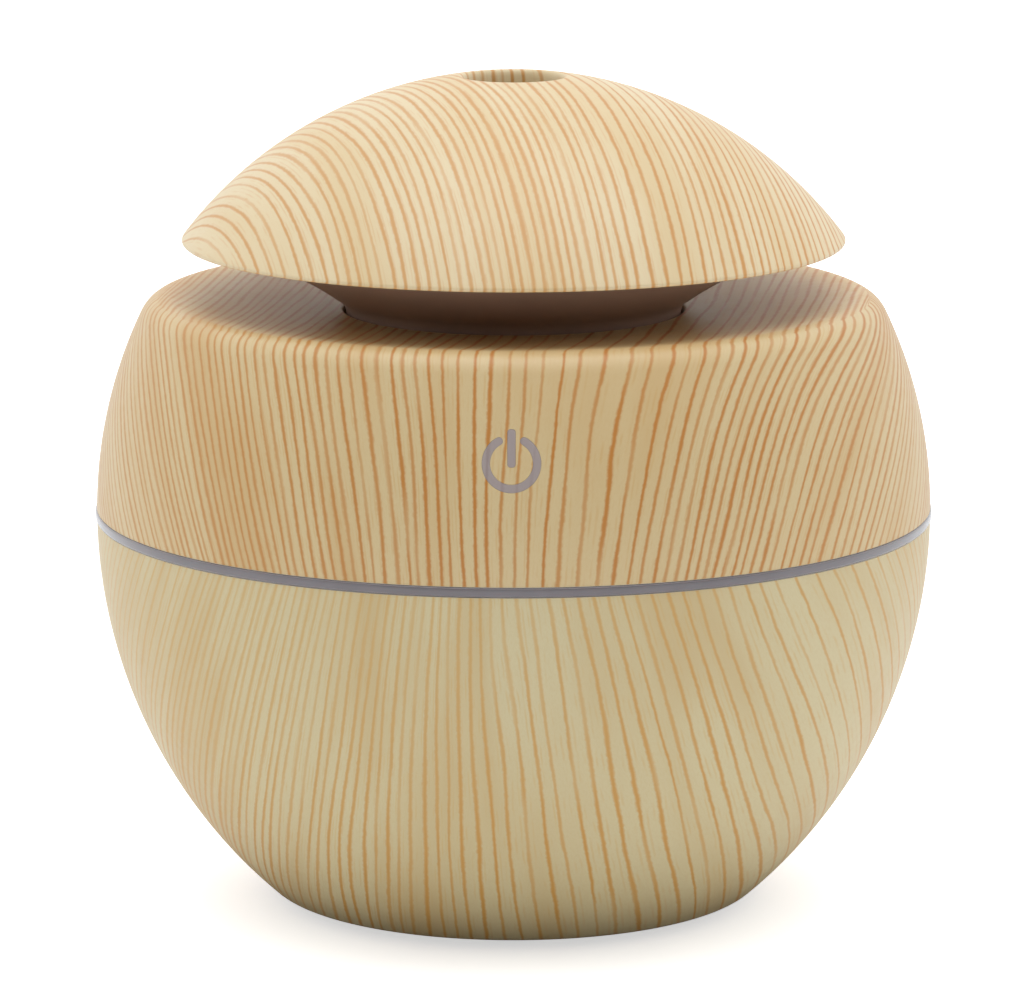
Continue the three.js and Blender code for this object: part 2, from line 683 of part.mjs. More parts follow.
function boardParts() {
  const low = BOARD_Z + BOARD_T + GAP;
  const chip = { half: [2.5, 4], t: 1.6, r: 29.3, angle: 15 };
  const socket = { half: 3.9, back: 28.6, front: 34, h: 2.8, wall: 0.5, floor: 1.4 };
  const inductor = { radius: 3.8, h: 4.6, place: around(29, 165) };
  const capacitor = { radius: 2.5, h: 6.5, place: around(27, 125) };

  const [halfX, halfY] = chip.half;
  const chipMesh = piece(
    "controller_chip",
    block([-halfX, -halfY, 0], [halfX, halfY, chip.t]),
    DARK_PLASTIC,
    [...around(chip.r, chip.angle), low],
  );
  chipMesh.rotation.z = degrees(chip.angle);

  const inner = socket.half - socket.wall;
  const shell = carved(block([-socket.half, socket.back, low], [socket.half, socket.front, low + socket.h]), {
    cut: [
      block(
        [-inner, socket.back + socket.floor, low + socket.wall],
        [inner, socket.front + 1, low + socket.h - socket.wall],
      ),
    ],
  });
  return [
    chipMesh,
    piece("power_socket", shell, STEEL),
    piece("inductor", disc(inductor.radius, 0, inductor.h, 16), FERRITE, [...inductor.place, low]),
    piece("capacitor", disc(capacitor.radius, 0, capacitor.h, 14), FOIL, [...capacitor.place, low]),
    ...BOARD_SCREW_ANGLES.map((angle, i) =>
      screw(`board_screw_${i + 1}`, BOARD_SCREW, 4.2, [...around(BOARD_SCREW_R, angle), low]),
    ),
  ];
}

// ---- Fan ----
const FAN_HOLE_R = 11.6; // the air's way through the frame
const PIN_R = 0.9; // the rotor turns on this

function fanFrame() {
  const half = FAN_SIDE / 2;
  const corner = 2.5;
  const shape = new THREE.Shape();
  shape.moveTo(-half + corner, -half);
  for (const [cx, cy, start] of [
    [half - corner, -half + corner, -90],
    [half - corner, half - corner, 0],
    [-half + corner, half - corner, 90],
    [-half + corner, -half + corner, 180],
  ])
    shape.absarc(cx, cy, corner, degrees(start), degrees(start + 90), false);
  const low = FAN_Z;
  const high = FAN_Z + FAN_T;
  const hub = { r: 6.2, t: 0.9, strutHalf: 0.7 };
  const struts = [15, 105, 195, 285].map((angle) =>
    block([hub.r - 1, -hub.strutHalf, high - hub.t], [half - 0.4, hub.strutHalf, high]).rotateZ(
      degrees(angle),
    ),
  );
  const screwHoles = [-1, 1].map((side) =>
    disc(1, low - 1, high + 1).translate(side * FAN_SCREW_AT, side * FAN_SCREW_AT, 0),
  );
  const body = carved(plate(shape, low, high, 3), {
    cut: [disc(FAN_HOLE_R, low - 1, high + 1, 24), ...screwHoles],
  });
  const pin = disc(PIN_R, low + 1.2, high - 0.3, 12);
  const geometry = carved(body, { add: [disc(hub.r, high - hub.t, high, 16), ...struts, pin] });
  return piece("fan_frame", geometry, DARK_PLASTIC);
}

// Hub and seven blades; it turns on the frame's pin.
function fanRotor() {
  const low = FAN_Z + 0.5;
  const high = FAN_Z + FAN_T - 1.3;
  const bore = PIN_R + 0.08;
  const hubR = 5.6;
  const tipR = FAN_HOLE_R - 0.6;
  const blades = 7;
  const bladeT = 0.7;
  const chord = 4.4;
  const pitch = 48;
  const hub = ring(bore, hubR, low, high, 16);
  const blade = (i) =>
    block([hubR - 0.6, -bladeT / 2, -chord / 2], [tipR, bladeT / 2, chord / 2])
      .rotateX(degrees(pitch))
      .translate(0, 0, (low + high) / 2)
      .rotateZ((2 * Math.PI * i) / blades);
  const trim = block([-FAN_SIDE, -FAN_SIDE, low], [FAN_SIDE, FAN_SIDE, high]);
  const joined = solidOf(carved(hub, { add: steps(0, blades - 1, blades - 1, blade) }));
  return piece("fan_rotor", geometryOf(joined.intersect(solidOf(trim))), DARK_PLASTIC);
}

function fanScrews() {
  return [-1, 1].map((side, i) =>
    screw(`fan_screw_${i + 1}`, FAN_SCREW, FAN_T + 1.6, [
      side * FAN_SCREW_AT,
      side * FAN_SCREW_AT,
      FAN_Z + FAN_T + GAP,
    ]),
  );
}

// ---- Base ----
const SCREW_SEAT_Z = BASE_Z + 1.1; // the base screws' heads end here

function basePlate() {
  const top = FLOOR_Z - GAP;
  const seatTop = FAN_Z - GAP;
  const slot = { reach: 10.6, pitch: 3.1, half: 0.8 };
  const slots = steps(-3, 3, 6, (i) => {
    const y = slot.pitch * i;
    const half = Math.sqrt(slot.reach ** 2 - y ** 2);
    return block([-half, y - slot.half, 0], [half, y + slot.half, seatTop + 1]);
  });
  const seatHalf = FAN_SIDE / 2 - 0.2;
  const seat = block([-seatHalf, -seatHalf, top - 0.5], [seatHalf, seatHalf, seatTop]);
  const counterbore = SCREW_SEAT_Z + 0.1;
  const geometry = carved(disc(BASE_PLATE_R, BASE_Z, top, ROUND), {
    add: [seat],
    cut: [
      ...slots,
      ...postsAt(FOOT_PLACE_R, FOOT_ANGLES, FOOT_R + 0.4, 0, BASE_Z + 0.6),
      ...postsAt(BASE_SCREW_R, BASE_SCREW_ANGLES, 1.5, 0, seatTop + 1),
      ...postsAt(BASE_SCREW_R, BASE_SCREW_ANGLES, 2.45, 0, counterbore),
      ...[-1, 1].map((side) =>
        disc(0.95, BASE_Z + 0.8, seatTop + 1).translate(side * FAN_SCREW_AT, side * FAN_SCREW_AT, 0),
      ),
    ],
  });
  return piece("base_plate", geometry, WHITE_PLASTIC);
}

function footAt([x, y], number) {
  const outline = [
    [0, 0],
    [FOOT_R - 0.4, 0],
    [FOOT_R, 0.3],
    [FOOT_R, BASE_Z + 0.5],
    [0, BASE_Z + 0.5],
  ];
  return piece(`foot_${number}`, turnedSolid(outline, 16), RUBBER, [x, y, 0]);
}

const baseScrews = () =>
  BASE_SCREW_ANGLES.map((angle, i) =>
    screw(`base_screw_${i + 1}`, BASE_SCREW, 17, [...around(BASE_SCREW_R, angle), SCREW_SEAT_Z], true),
  );

const tankScrews = () =>
  TANK_SCREW_ANGLES.map((angle, i) =>
    screw(`tank_screw_${i + 1}`, TANK_SCREW, 14, [...around(TANK_SCREW_R, angle), FLANGE_Z - GAP], true),
  );

// ---- Leads ----
function leads() {
  const at = (radius, angle, z) => [...around(radius, angle), z];
  const boardTop = BOARD_Z + BOARD_T + 1;
  const wire = 0.55;
  return [
    piece(
      "piezo_lead",
      lead(
        [
          [2.5, 0, 18.9], [2.8, 0.3, 15.2],
          at(10, 25, 14.6), at(19, 42, 14.9), at(24, 46, boardTop),
        ],
        wire,
      ),
      LEAD_RED,
    ),
    piece(
      "fan_lead",
      lead(
        [
          [13.4, 4, 8], [14.8, 8.2, 10],
          at(17.9, 45, 12), at(17.7, 52, 14.8), at(23.4, 62, boardTop),
        ],
        wire,
      ),
      DARK_PLASTIC,
    ),
    piece(
      "light_lead",
      lead(
        [
          at(LEAD_HOLE_R, LIGHT_LEAD_ANGLE, LIGHT_BOARD_Z + 0.5),
          at(40.4, LIGHT_LEAD_ANGLE, 36),
          at(40.1, LIGHT_LEAD_ANGLE, 24.5),
          at(36.4, LIGHT_LEAD_ANGLE - 4, 18),
          at(32, LIGHT_LEAD_ANGLE - 14, 15.4),
          at(29, LIGHT_LEAD_ANGLE - 14, boardTop),
        ],
        wire,
      ),
      WHITE_PLASTIC,
    ),
    piece(
      "touch_lead",
      lead(
        [
          at(41.3, 264.5, 55.2),
          at(41.6, 263, 52),
          at(LEAD_HOLE_R, KEY_LEAD_ANGLE, 47),
          at(LEAD_HOLE_R, KEY_LEAD_ANGLE, 40),
          at(40.2, KEY_LEAD_ANGLE, 25),
          at(36, KEY_LEAD_ANGLE - 8, 18),
          at(32.5, KEY_LEAD_ANGLE - 35, 15.6),
          at(29, KEY_LEAD_ANGLE - 62, boardTop),
        ],
        wire,
      ),
      WHITE_PLASTIC,
    ),
  ];
}

// ---- Assembly ----
const diffuser = new THREE.Group();
const cap = new THREE.Group().add(capDome(), capInsert(), mistTube());
const touchGroup = touchKey();
const upper = new THREE.Group().add(upperShell(), keyLightPipe(), touchGroup);
const waterSide = new THREE.Group().add(
  tank(),
  tankGasket(),
  airDuct(),
  ...ultrasonicStage(),
  ...tankScrews(),
);
const lights = new THREE.Group().add(lightRing(), lightBoard(), ...lightLeds());
const lower = new THREE.Group().add(
  lowerShell(),
  mainBoard(),
  ...boardParts(),
  ...leads(),
  basePlate(),
  ...baseScrews(),
  ...FOOT_ANGLES.map((angle, i) => footAt(around(FOOT_PLACE_R, angle), i + 1)),
);
const fan = new THREE.Group().add(fanFrame(), fanRotor(), ...fanScrews());
diffuser.add(cap, capSeal(), upper, waterSide, lights, lower, fan);

export default diffuser;
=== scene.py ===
"""An ultrasonic essential oil diffuser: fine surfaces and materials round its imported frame.

Outlines are in millimetres and become metres when a mesh is made. +Z is up and the key faces -Y.
"""
import json
import math

import bmesh
import bpy
import numpy as np
from mathutils import Matrix, Vector


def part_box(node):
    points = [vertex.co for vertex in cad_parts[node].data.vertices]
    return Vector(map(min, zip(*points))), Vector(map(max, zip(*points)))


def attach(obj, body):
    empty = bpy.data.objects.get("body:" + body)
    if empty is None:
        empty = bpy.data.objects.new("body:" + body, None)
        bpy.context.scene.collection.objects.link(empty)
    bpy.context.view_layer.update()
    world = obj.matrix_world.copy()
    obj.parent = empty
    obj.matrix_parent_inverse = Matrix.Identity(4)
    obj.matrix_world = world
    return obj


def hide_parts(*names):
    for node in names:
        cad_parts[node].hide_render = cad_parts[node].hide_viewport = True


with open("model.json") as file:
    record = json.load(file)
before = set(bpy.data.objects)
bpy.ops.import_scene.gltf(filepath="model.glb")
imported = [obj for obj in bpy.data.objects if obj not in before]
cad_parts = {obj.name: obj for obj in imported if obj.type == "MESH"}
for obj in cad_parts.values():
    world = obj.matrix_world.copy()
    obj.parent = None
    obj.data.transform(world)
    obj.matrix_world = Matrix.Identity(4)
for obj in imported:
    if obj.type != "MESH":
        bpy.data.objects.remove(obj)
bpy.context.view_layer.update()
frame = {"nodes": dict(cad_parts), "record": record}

RECORD = frame["record"]
BODY_OF = {node: body for body, nodes in RECORD["behaviour"]["bodies"].items() for node in nodes}
SLOT_OF = {part["node"]: part["material_slot"] for part in RECORD["subparts"]}

MM = 0.001
SIDES = 256  # of the large turned pieces
SMALL_SIDES = 48  # of screws, feet and round holes


def low(node):
    """Lowest corner of a CAD node's box, in mm."""
    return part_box(node)[0] / MM


def high(node):
    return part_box(node)[1] / MM


def middle(node):
    return (low(node) + high(node)) / 2


def span(node):
    """Lowest and highest Z of a CAD node."""
    return low(node).z, high(node).z


def half_size(node):
    return (high(node) - low(node)) / 2


# ---- Driving dimensions, in mm ----
BASE_Z = low("lower_shell").z
SEAM_Z = middle("light_ring").z
RING_HALF = 0.56  # half the height of the ring's visible band
RING_PROUD = 0.15
BODY_R = high("light_ring").x - RING_PROUD
BOWL_ARC = 61  # profile radius of the lower shell's side
SHOULDER_ARC = 55  # profile radius of the upper shell's side
WALL = 2.2
CREST_R = 41  # highest circle of the body, round the dished top
CREST_Z = high("upper_shell").z
CREST_ROUND = 2.2  # height over which the side rounds over to the crest
HOLE_R = 20.4
HOLE_Z = CREST_Z - 1.65
COLLAR_Z = low("upper_shell").z + 12.9
NECK_R = 20
RIM_Z = low("cap_dome").z
DOME_R = 49.5
DOME_TOP_Z = 99.6  # the dome would reach this on the axis
DOME_CENTRE_Z = DOME_TOP_Z - DOME_R
MIST_R = 5.7
INSERT_R = 36.6
KEY_Z = BASE_Z + 60.65
KEY_TILT = math.asin((KEY_Z - SEAM_Z) / SHOULDER_ARC)
TANK_R = 36
TANK_FLOOR_Z = 24


# ---- Camera, fitted to the photograph's outline ----
CAMERA_PLACE = Vector((0.0037, -0.7236, 0.1894))  # in metres
CAMERA_AIM = Vector((-0.0002, 0, 0.0483))
CAMERA_LENS = 215.6
SENSOR_WIDTH = 36


def make_camera():
    data = bpy.data.cameras.new("camera")
    data.lens = CAMERA_LENS
    data.sensor_width = SENSOR_WIDTH
    camera = bpy.data.objects.new("camera", data)
    bpy.context.scene.collection.objects.link(camera)
    camera.location = CAMERA_PLACE
    camera.rotation_euler = (CAMERA_AIM - CAMERA_PLACE).to_track_quat("-Z", "Y").to_euler()
    bpy.context.scene.camera = camera


make_camera()


# ---- Outlines ----
def steps(start, end, count, point):
    """Points at even steps of a function of one value."""
    return [point(start + (end - start) * i / count) for i in range(count + 1)]


def arc(centre_r, centre_z, radius, start, end, count=8):
    """Points on a round corner; the angles are in degrees, 0 pointing outward and 90 up."""
    def point(angle):
        return centre_r + radius * math.cos(angle), centre_z + radius * math.sin(angle)

    return steps(math.radians(start), math.radians(end), count, point)


def bend(start, corner, end, count=10):
    """Points on a smooth curve that leaves start and reaches end along lines to the corner."""
    def point(t):
        first, second, third = (1 - t) ** 2, 2 * t * (1 - t), t * t
        return tuple(first * a + second * b + third * c for a, b, c in zip(start, corner, end))

    return steps(0, 1, count, point)


def rounded(points, radius, count=4):
    """A closed outline with every corner rounded, by less where its sides are short."""
    result = []
    for i, corner in enumerate(points):
        here = Vector(corner)
        before = Vector(points[i - 1]) - here
        after = Vector(points[(i + 1) % len(points)]) - here
        cut = min(radius, before.length * 0.45, after.length * 0.45)
        result += bend(here + before.normalized() * cut, here, here + after.normalized() * cut, count)
    return [tuple(p) for p in result]


def bowl_r(z, inset=0):
    return BODY_R - BOWL_ARC + math.sqrt((BOWL_ARC - inset) ** 2 - (z - SEAM_Z) ** 2)


def shoulder_r(z, inset=0):
    return BODY_R - SHOULDER_ARC + math.sqrt((SHOULDER_ARC - inset) ** 2 - (z - SEAM_Z) ** 2)


def dome_z(r, inset=0):
    return DOME_CENTRE_Z + math.sqrt((DOME_R - inset) ** 2 - r**2)


def deck_z(r, drop=0):
    return HOLE_Z - drop + (CREST_Z - HOLE_Z) * (max(r - HOLE_R, 0) / (CREST_R - HOLE_R)) ** 1.4


# ---- Meshes ----
def object_of(build, name, materials=(), shaded=False):
    """An object from a bmesh, which is freed."""
    mesh = bpy.data.meshes.new(name)
    build.to_mesh(mesh)
    build.free()
    if shaded:
        finish_mesh(mesh)
    return new_object(name, mesh, materials)


def new_object(name, mesh, materials=()):
    for material in materials:
        mesh.materials.append(material)
    obj = bpy.data.objects.new(name, mesh)
    bpy.context.scene.collection.objects.link(obj)
    return obj


def finish_mesh(mesh, sharp=28):
    """Smooth shading, with edges sharper than that many degrees kept crisp."""
    mesh.validate()
    mesh.polygons.foreach_set("use_smooth", [True] * len(mesh.polygons))
    mesh.set_sharp_from_angle(angle=math.radians(sharp))
    mesh.update()


def without_repeats(runs):
    """Joins runs of (material index, points) into one list, dropping points met twice."""
    joined = []
    for index, points in runs:
        for point in points:
            if joined and math.dist(point, joined[-1][0]) < 1e-4:
                joined[-1] = (joined[-1][0], index)
            else:
                joined.append((point, index))
    if math.dist(joined[0][0], joined[-1][0]) < 1e-4:
        joined.pop()
    return joined


def turned(name, runs, materials=(), sides=SIDES):
    """Turns a closed outline, anticlockwise in (radius, z), about the Z axis.

    The outline comes as runs of (material index, points); a point on the axis becomes a pole.
    """
    outline = without_repeats(runs)
    count = len(outline)
    build = bmesh.new()
    rings = []
    for (r, z), _ in outline:
        if r < 1e-6:
            rings.append([build.verts.new((0, 0, z * MM))] * sides)
            continue
        angles = [2 * math.pi * k / sides for k in range(sides)]
        rings.append(
            [build.verts.new((r * math.cos(a) * MM, r * math.sin(a) * MM, z * MM)) for a in angles]
        )
    for i in range(count):
        lower, upper = rings[i], rings[(i + 1) % count]
        for k in range(sides):
            corners = (lower[k], lower[(k + 1) % sides], upper[(k + 1) % sides], upper[k])
            different = list(dict.fromkeys(corners))
            if len(different) > 2:
                build.faces.new(different).material_index = outline[i][1]
    return object_of(build, name, materials, shaded=True)


def prism(name, outline, bottom, top, materials=(), index=0):
    """A closed outline of (x, y) points, anticlockwise, raised from one height to another."""
    build = bmesh.new()
    floor = [build.verts.new((x * MM, y * MM, bottom * MM)) for x, y in outline]
    roof = [build.verts.new((x * MM, y * MM, top * MM)) for x, y in outline]
    build.faces.new(floor[::-1])
    build.faces.new(roof)
    for i in range(len(outline)):
        j = (i + 1) % len(outline)
        build.faces.new((floor[i], floor[j], roof[j], roof[i]))
    for face in build.faces:
        face.material_index = index
    return object_of(build, name, materials)


def moved(obj, place):
    """Moves a piece's mesh by millimetres."""
    obj.data.transform(Matrix.Translation(Vector(place) * MM))
    return obj


def spun(obj, angle, axis="Z"):
    obj.data.transform(Matrix.Rotation(angle, 4, axis))
    return obj


def turned_aside(obj):
    """Turns a round piece a little, so that a tool's corners don't meet the piece's own edges."""
    return spun(obj, math.radians(0.4))


def circle(radius, x=0, y=0, sides=SMALL_SIDES):
    return [
        (x + radius * math.cos(2 * math.pi * k / sides), y + radius * math.sin(2 * math.pi * k / sides))
        for k in range(sides)
    ]


def rectangle(half_x, half_y, corner, x=0, y=0):
    """A rectangle with round corners, anticlockwise."""
    points = []
    for side_x, side_y, start in ((1, -1, -90), (1, 1, 0), (-1, 1, 90), (-1, -1, 180)):
        centre = (x + side_x * (half_x - corner), y + side_y * (half_y - corner))
        points += arc(*centre, corner, start, start + 90, 6)
    return points


def with_modifiers(obj):
    """Replaces the object's mesh by what its modifiers make of it."""
    bpy.context.view_layer.update()
    mesh = bpy.data.meshes.new_from_object(obj.evaluated_get(bpy.context.evaluated_depsgraph_get()))
    obj.modifiers.clear()
    obj.data = mesh


def carve(obj, tools, operation="DIFFERENCE"):
    """Cuts the tools from the object, or joins them to it, and removes them."""
    for tool in tools:
        change = obj.modifiers.new("carve", "BOOLEAN")
        change.operation = operation
        change.solver = "EXACT"
        change.object = tool
    with_modifiers(obj)
    for tool in tools:
        bpy.data.objects.remove(tool)
    finish_mesh(obj.data)


def follow_outline(obj, points, tolerance=0.02):
    """Corners on a turned outline get the outline's own normals, so cuts don't show in the shading."""
    outline = np.array(points)
    along = np.gradient(outline, axis=0)
    across = np.stack([along[:, 1], -along[:, 0]], 1)
    across /= np.linalg.norm(across, axis=1)[:, None]
    mesh = obj.data
    normals = np.zeros((len(mesh.loops), 3))
    for face in mesh.polygons:
        for loop in face.loop_indices:
            x, y, z = mesh.vertices[mesh.loops[loop].vertex_index].co / MM
            r = math.hypot(x, y)
            gap = np.hypot(outline[:, 0] - r, outline[:, 1] - z)
            near = int(gap.argmin())
            first, second = max(near - 1, 0), min(near + 1, len(outline) - 1)
            other = first if gap[first] < gap[second] and first != near else second
            span = outline[other] - outline[near]
            share = float(np.dot(np.array((r, z)) - outline[near], span) / max(np.dot(span, span), 1e-9))
            share = min(max(share, 0), 1)
            foot = outline[near] + span * share
            if math.hypot(foot[0] - r, foot[1] - z) > tolerance:
                continue
            out, up = across[near] * (1 - share) + across[other] * share
            normal = Vector((out * x / r, out * y / r, up)).normalized()
            if normal.dot(face.normal) > 0.96:
                normals[loop] = normal
    mesh.normals_split_custom_set([tuple(n) for n in normals])


def softened(node, materials, width=0, segments=3, levels=0):
    """A copy of a CAD node's mesh with its edges rounded, or smoothed all over."""
    mesh = frame["nodes"][node].data.copy()
    mesh.materials.clear()
    copy = new_object(node + "_fine", mesh)
    weld = copy.modifiers.new("weld", "WELD")
    weld.merge_threshold = 1e-6
    if width:
        edge = copy.modifiers.new("edge", "BEVEL")
        edge.width = width * MM
        edge.segments = segments
        edge.limit_method = "ANGLE"
        edge.angle_limit = math.radians(35)
    if levels:
        smooth = copy.modifiers.new("smooth", "SUBSURF")
        smooth.levels = levels
        smooth.render_levels = levels
    with_modifiers(copy)
    if "custom_normal" in copy.data.attributes:
        copy.data.attributes.remove(copy.data.attributes["custom_normal"])
    finish_mesh(copy.data)
    for material in materials:
        copy.data.materials.append(material)
    return copy


def stands_for(piece, node):
    """The piece takes the place of a CAD node and rides on its body."""
    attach(piece, BODY_OF[node])
    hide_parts(node)


# ---- Shader helpers ----
def colour(red, green, blue):
    """A screen colour, 0 to 255, as the linear values that shaders take."""
    linear = [
        c / 255 / 12.92 if c <= 10 else ((c / 255 + 0.055) / 1.055) ** 2.4 for c in (red, green, blue)
    ]
    return (*linear, 1)


class Nodes:
    """Short ways to add nodes to a node tree."""

    def __init__(self, tree):
        self.tree = tree

    def add(self, kind, inputs=None, **settings):
        node = self.tree.nodes.new("ShaderNode" + kind)
        for key, value in settings.items():
            setattr(node, key, value)
        for socket, value in (inputs or {}).items():
            self.put(value, node.inputs[socket])
        return node

    def put(self, value, socket):
        if isinstance(value, bpy.types.NodeSocket):
            self.tree.links.new(value, socket)
        else:
            socket.default_value = value

    def maths(self, operation, *values):
        return self.add("Math", dict(enumerate(values)), operation=operation).outputs[0]

    def times(self, first, *others):
        product = first
        for other in others:
            product = self.maths("MULTIPLY", product, other)
        return product

    def stretched(self, place, x, y, z):
        return self.add("VectorMath", {0: place, 1: (x, y, z)}, operation="MULTIPLY").outputs[0]

    def ramp(self, value, start, end, first=0, last=1, smooth=True):
        """The value, moved from one range to another and held at its ends."""
        kind = "SMOOTHSTEP" if smooth else "LINEAR"
        inputs = {"Value": value, "From Min": start, "From Max": end, "To Min": first, "To Max": last}
        return self.add("MapRange", inputs, interpolation_type=kind).outputs[0]

    def mix(self, share, first, second):
        node = self.add("Mix", data_type="RGBA")
        for socket, value in (("Factor", share), ("A", first), ("B", second)):
            self.put(value, node.inputs[socket])
        return node.outputs["Result"]

    def noise(self, place, scale, detail=2, roughness=0.5):
        """A soft random value from 0 to 1 at a place."""
        inputs = {"Vector": place, "Scale": scale, "Detail": detail, "Roughness": roughness}
        return self.add("TexNoise", inputs).outputs["Fac"]

    def sway(self, place, scale, detail, reach):
        """A soft random value round 0, whose whole range is reach."""
        middling = self.maths("SUBTRACT", self.noise(place, scale, detail), 0.5)
        return self.times(middling, reach)

    def object_place(self, x=1, y=1, z=1):
        """The place on the object in mm, stretched along each axis."""
        return self.stretched(self.add("TexCoord").outputs["Object"], x / MM, y / MM, z / MM)


class Shader(Nodes):
    """A new material with one Principled shader."""

    def __init__(self, name, **sockets):
        self.material = bpy.data.materials.new(name)
        self.material.use_nodes = True
        super().__init__(self.material.node_tree)
        self.surface = self.tree.nodes["Principled BSDF"]
        by_name = {socket.name.lower(): socket for socket in self.surface.inputs}
        for name, value in sockets.items():
            by_name[name.replace("_", " ")].default_value = value

    def bump(self, height, strength, distance):
        inputs = {"Height": height, "Strength": strength, "Distance": distance * MM}
        self.put(self.add("Bump", inputs).outputs[0], self.surface.inputs["Normal"])

    def done(self, base, roughness):
        self.put(base, self.surface.inputs["Base Color"])
        self.put(roughness, self.surface.inputs["Roughness"])
        return self.material


def darkened(base, share):
    return tuple(c * share for c in base[:3]) + (1,)


# ---- Materials ----
def moulded(name, base, roughness, grain=0.25, depth=0.006, tint=0.05, **sockets):
    """Moulded plastic or rubber: faint cloudiness, and a fine texture of that grain size in mm."""
    shader = Shader(name, **sockets)
    place = shader.object_place()
    cloud = shader.noise(place, 0.07, 3)
    darker = darkened(base, 1 - 2 * tint)
    body = shader.mix(shader.ramp(cloud, 0.3, 0.7), darker, base)
    fine = shader.noise(place, 1 / grain, 2, 0.6)
    body = shader.mix(shader.ramp(fine, 0.35, 0.65, 0, tint), body, darker)
    shader.bump(fine, 0.6, depth)
    rough = shader.ramp(cloud, 0.25, 0.75, roughness - 0.05, roughness + 0.05)
    return shader.done(body, rough)


def line_cells(shader, number, flow, kinks, lines):
    """Splits the numbered lines into one cell each, with random values that are the cell's own.

    The lines wander together slowly, and each has small kinks of its own.
    """
    wander = shader.sway(flow, 0.26, 1, 1.1)
    kink = shader.sway(kinks, 0.7, 2, 0.12)
    place = shader.maths("ADD", shader.maths("ADD", number, wander), kink)
    cell = shader.maths("FLOOR", place)
    within = shader.maths("SUBTRACT", place, cell)
    wrapped = shader.maths("FLOORED_MODULO", cell, float(lines))
    chance = shader.add("TexWhiteNoise", {"W": wrapped}, noise_dimensions="1D").outputs
    return place, within, chance


def line_shape(shader, within, chance, bold, spacing, flow, kinks):
    """How dark the line's core is, and the skirt on the side where it fades out."""
    parts = shader.add("SeparateColor", {0: chance["Color"]}).outputs
    centre = shader.ramp(parts[0], 0, 1, 0.41, 0.59, smooth=False)
    away = shader.times(shader.maths("SUBTRACT", within, centre), spacing)  # mm from its middle
    width = shader.ramp(parts[1], 0, 1, 0.15, 0.215, smooth=False)  # half of it, in mm
    swell = shader.ramp(shader.noise(flow, 1.1, 1), 0.3, 0.7, 0.85, 1.15)
    ragged = shader.ramp(shader.noise(kinks, 2.6, 2), 0.3, 0.7, 0.82, 1.18)
    half = shader.times(width, swell, shader.ramp(bold, 0, 1, 0.85, 1.15), ragged)
    half = shader.maths("MINIMUM", half, shader.times(spacing, 0.24))
    off_line = shader.maths("DIVIDE", shader.maths("ABSOLUTE", away), half)
    core = shader.ramp(off_line, 0.25, 1.6, 1, 0)
    skirt = shader.times(shader.ramp(away, -0.05, 0.5, 1, 0), shader.ramp(away, -0.3, -0.05, 0, 1))
    return core, skirt


def line_power(shader, chance, bold, flow, weakest):
    """Some lines are weak, and all of them fade in and out along the grain."""
    slow = shader.stretched(flow, 1.0, 1.0, 0.3)
    fade = shader.ramp(shader.noise(slow, 1.3, 1), 0.3, 0.5, 0.6, 1)
    weight = shader.ramp(chance["Value"], 0, 0.4, weakest, 1)
    return shader.times(fade, weight, shader.ramp(bold, 0, 1, 0.45, 1))


def hair_lines(shader, place, flow):
    """Two faint lines between each pair of lines, which come and go."""
    third = shader.maths("FRACT", shader.times(place, 3.0))
    hair = shader.ramp(shader.maths("ABSOLUTE", shader.maths("SUBTRACT", third, 0.5)), 0.05, 0.3, 1, 0)
    return shader.times(hair, shader.ramp(shader.noise(flow, 2.1, 1), 0.45, 0.7, 0, 0.34))


def wood_print(name, lines, cream, tan, line, faint, strength=1.0, weakest=0.6):
    """Satin film with a printed pine grain.

    It reads the mesh's "grain" values (line number, how bold the lines are, their spacing in mm)
    and its "flow" values, a place measured in lines across the grain and slowly along it.
    """
    shader = Shader(name, specular_ior_level=0.5, coat_weight=0.25, coat_roughness=0.4)
    grain, flow = [
        shader.add("Attribute", attribute_name=attribute).outputs["Vector"] for attribute in ("grain", "flow")
    ]
    number, bold, spacing = shader.add("SeparateXYZ", {0: grain}).outputs
    kinks = shader.stretched(flow, 1.0, 1.0, 5.0)
    place, within, chance = line_cells(shader, number, flow, kinks, lines)
    core, skirt = line_shape(shader, within, chance, bold, spacing, flow, kinks)
    power = line_power(shader, chance, bold, flow, weakest)
    band = shader.ramp(shader.noise(flow, 0.16, 2), 0.38, 0.68)  # broad and warm
    fibres = shader.noise(shader.stretched(flow, 6.0, 6.0, 9.0), 1.6, 3, 0.6)

    body = shader.mix(shader.times(band, 0.75), cream, tan)
    body = shader.mix(shader.ramp(fibres, 0.35, 0.75, 0, 0.22), body, tan)
    body = shader.mix(hair_lines(shader, place, flow), body, faint)
    body = shader.mix(shader.times(skirt, power, 0.3), body, faint)
    drawn = shader.times(core, power, strength)
    body = shader.mix(drawn, body, shader.mix(shader.ramp(bold, 0.3, 1), faint, line))
    film = shader.object_place()
    shader.bump(shader.noise(film, 2.2, 2), 0.25, 0.006)
    return shader.done(body, shader.ramp(shader.noise(film, 0.9, 2), 0.3, 0.7, 0.40, 0.48))


def metal(name, base, roughness, scratches, stretch=(1, 1, 1)):
    """Plated or turned metal with fine scratches along one axis."""
    shader = Shader(name, metallic=1.0)
    place = shader.object_place(*stretch)
    marks = shader.noise(place, scratches, 3, 0.65)
    stain = shader.noise(shader.object_place(), 0.4, 3)
    darker = darkened(base, 0.82)
    body = shader.mix(shader.ramp(stain, 0.35, 0.7), base, darker)
    shader.bump(marks, 0.5, 0.004)
    return shader.done(body, shader.ramp(marks, 0.3, 0.7, roughness - 0.07, roughness + 0.1))


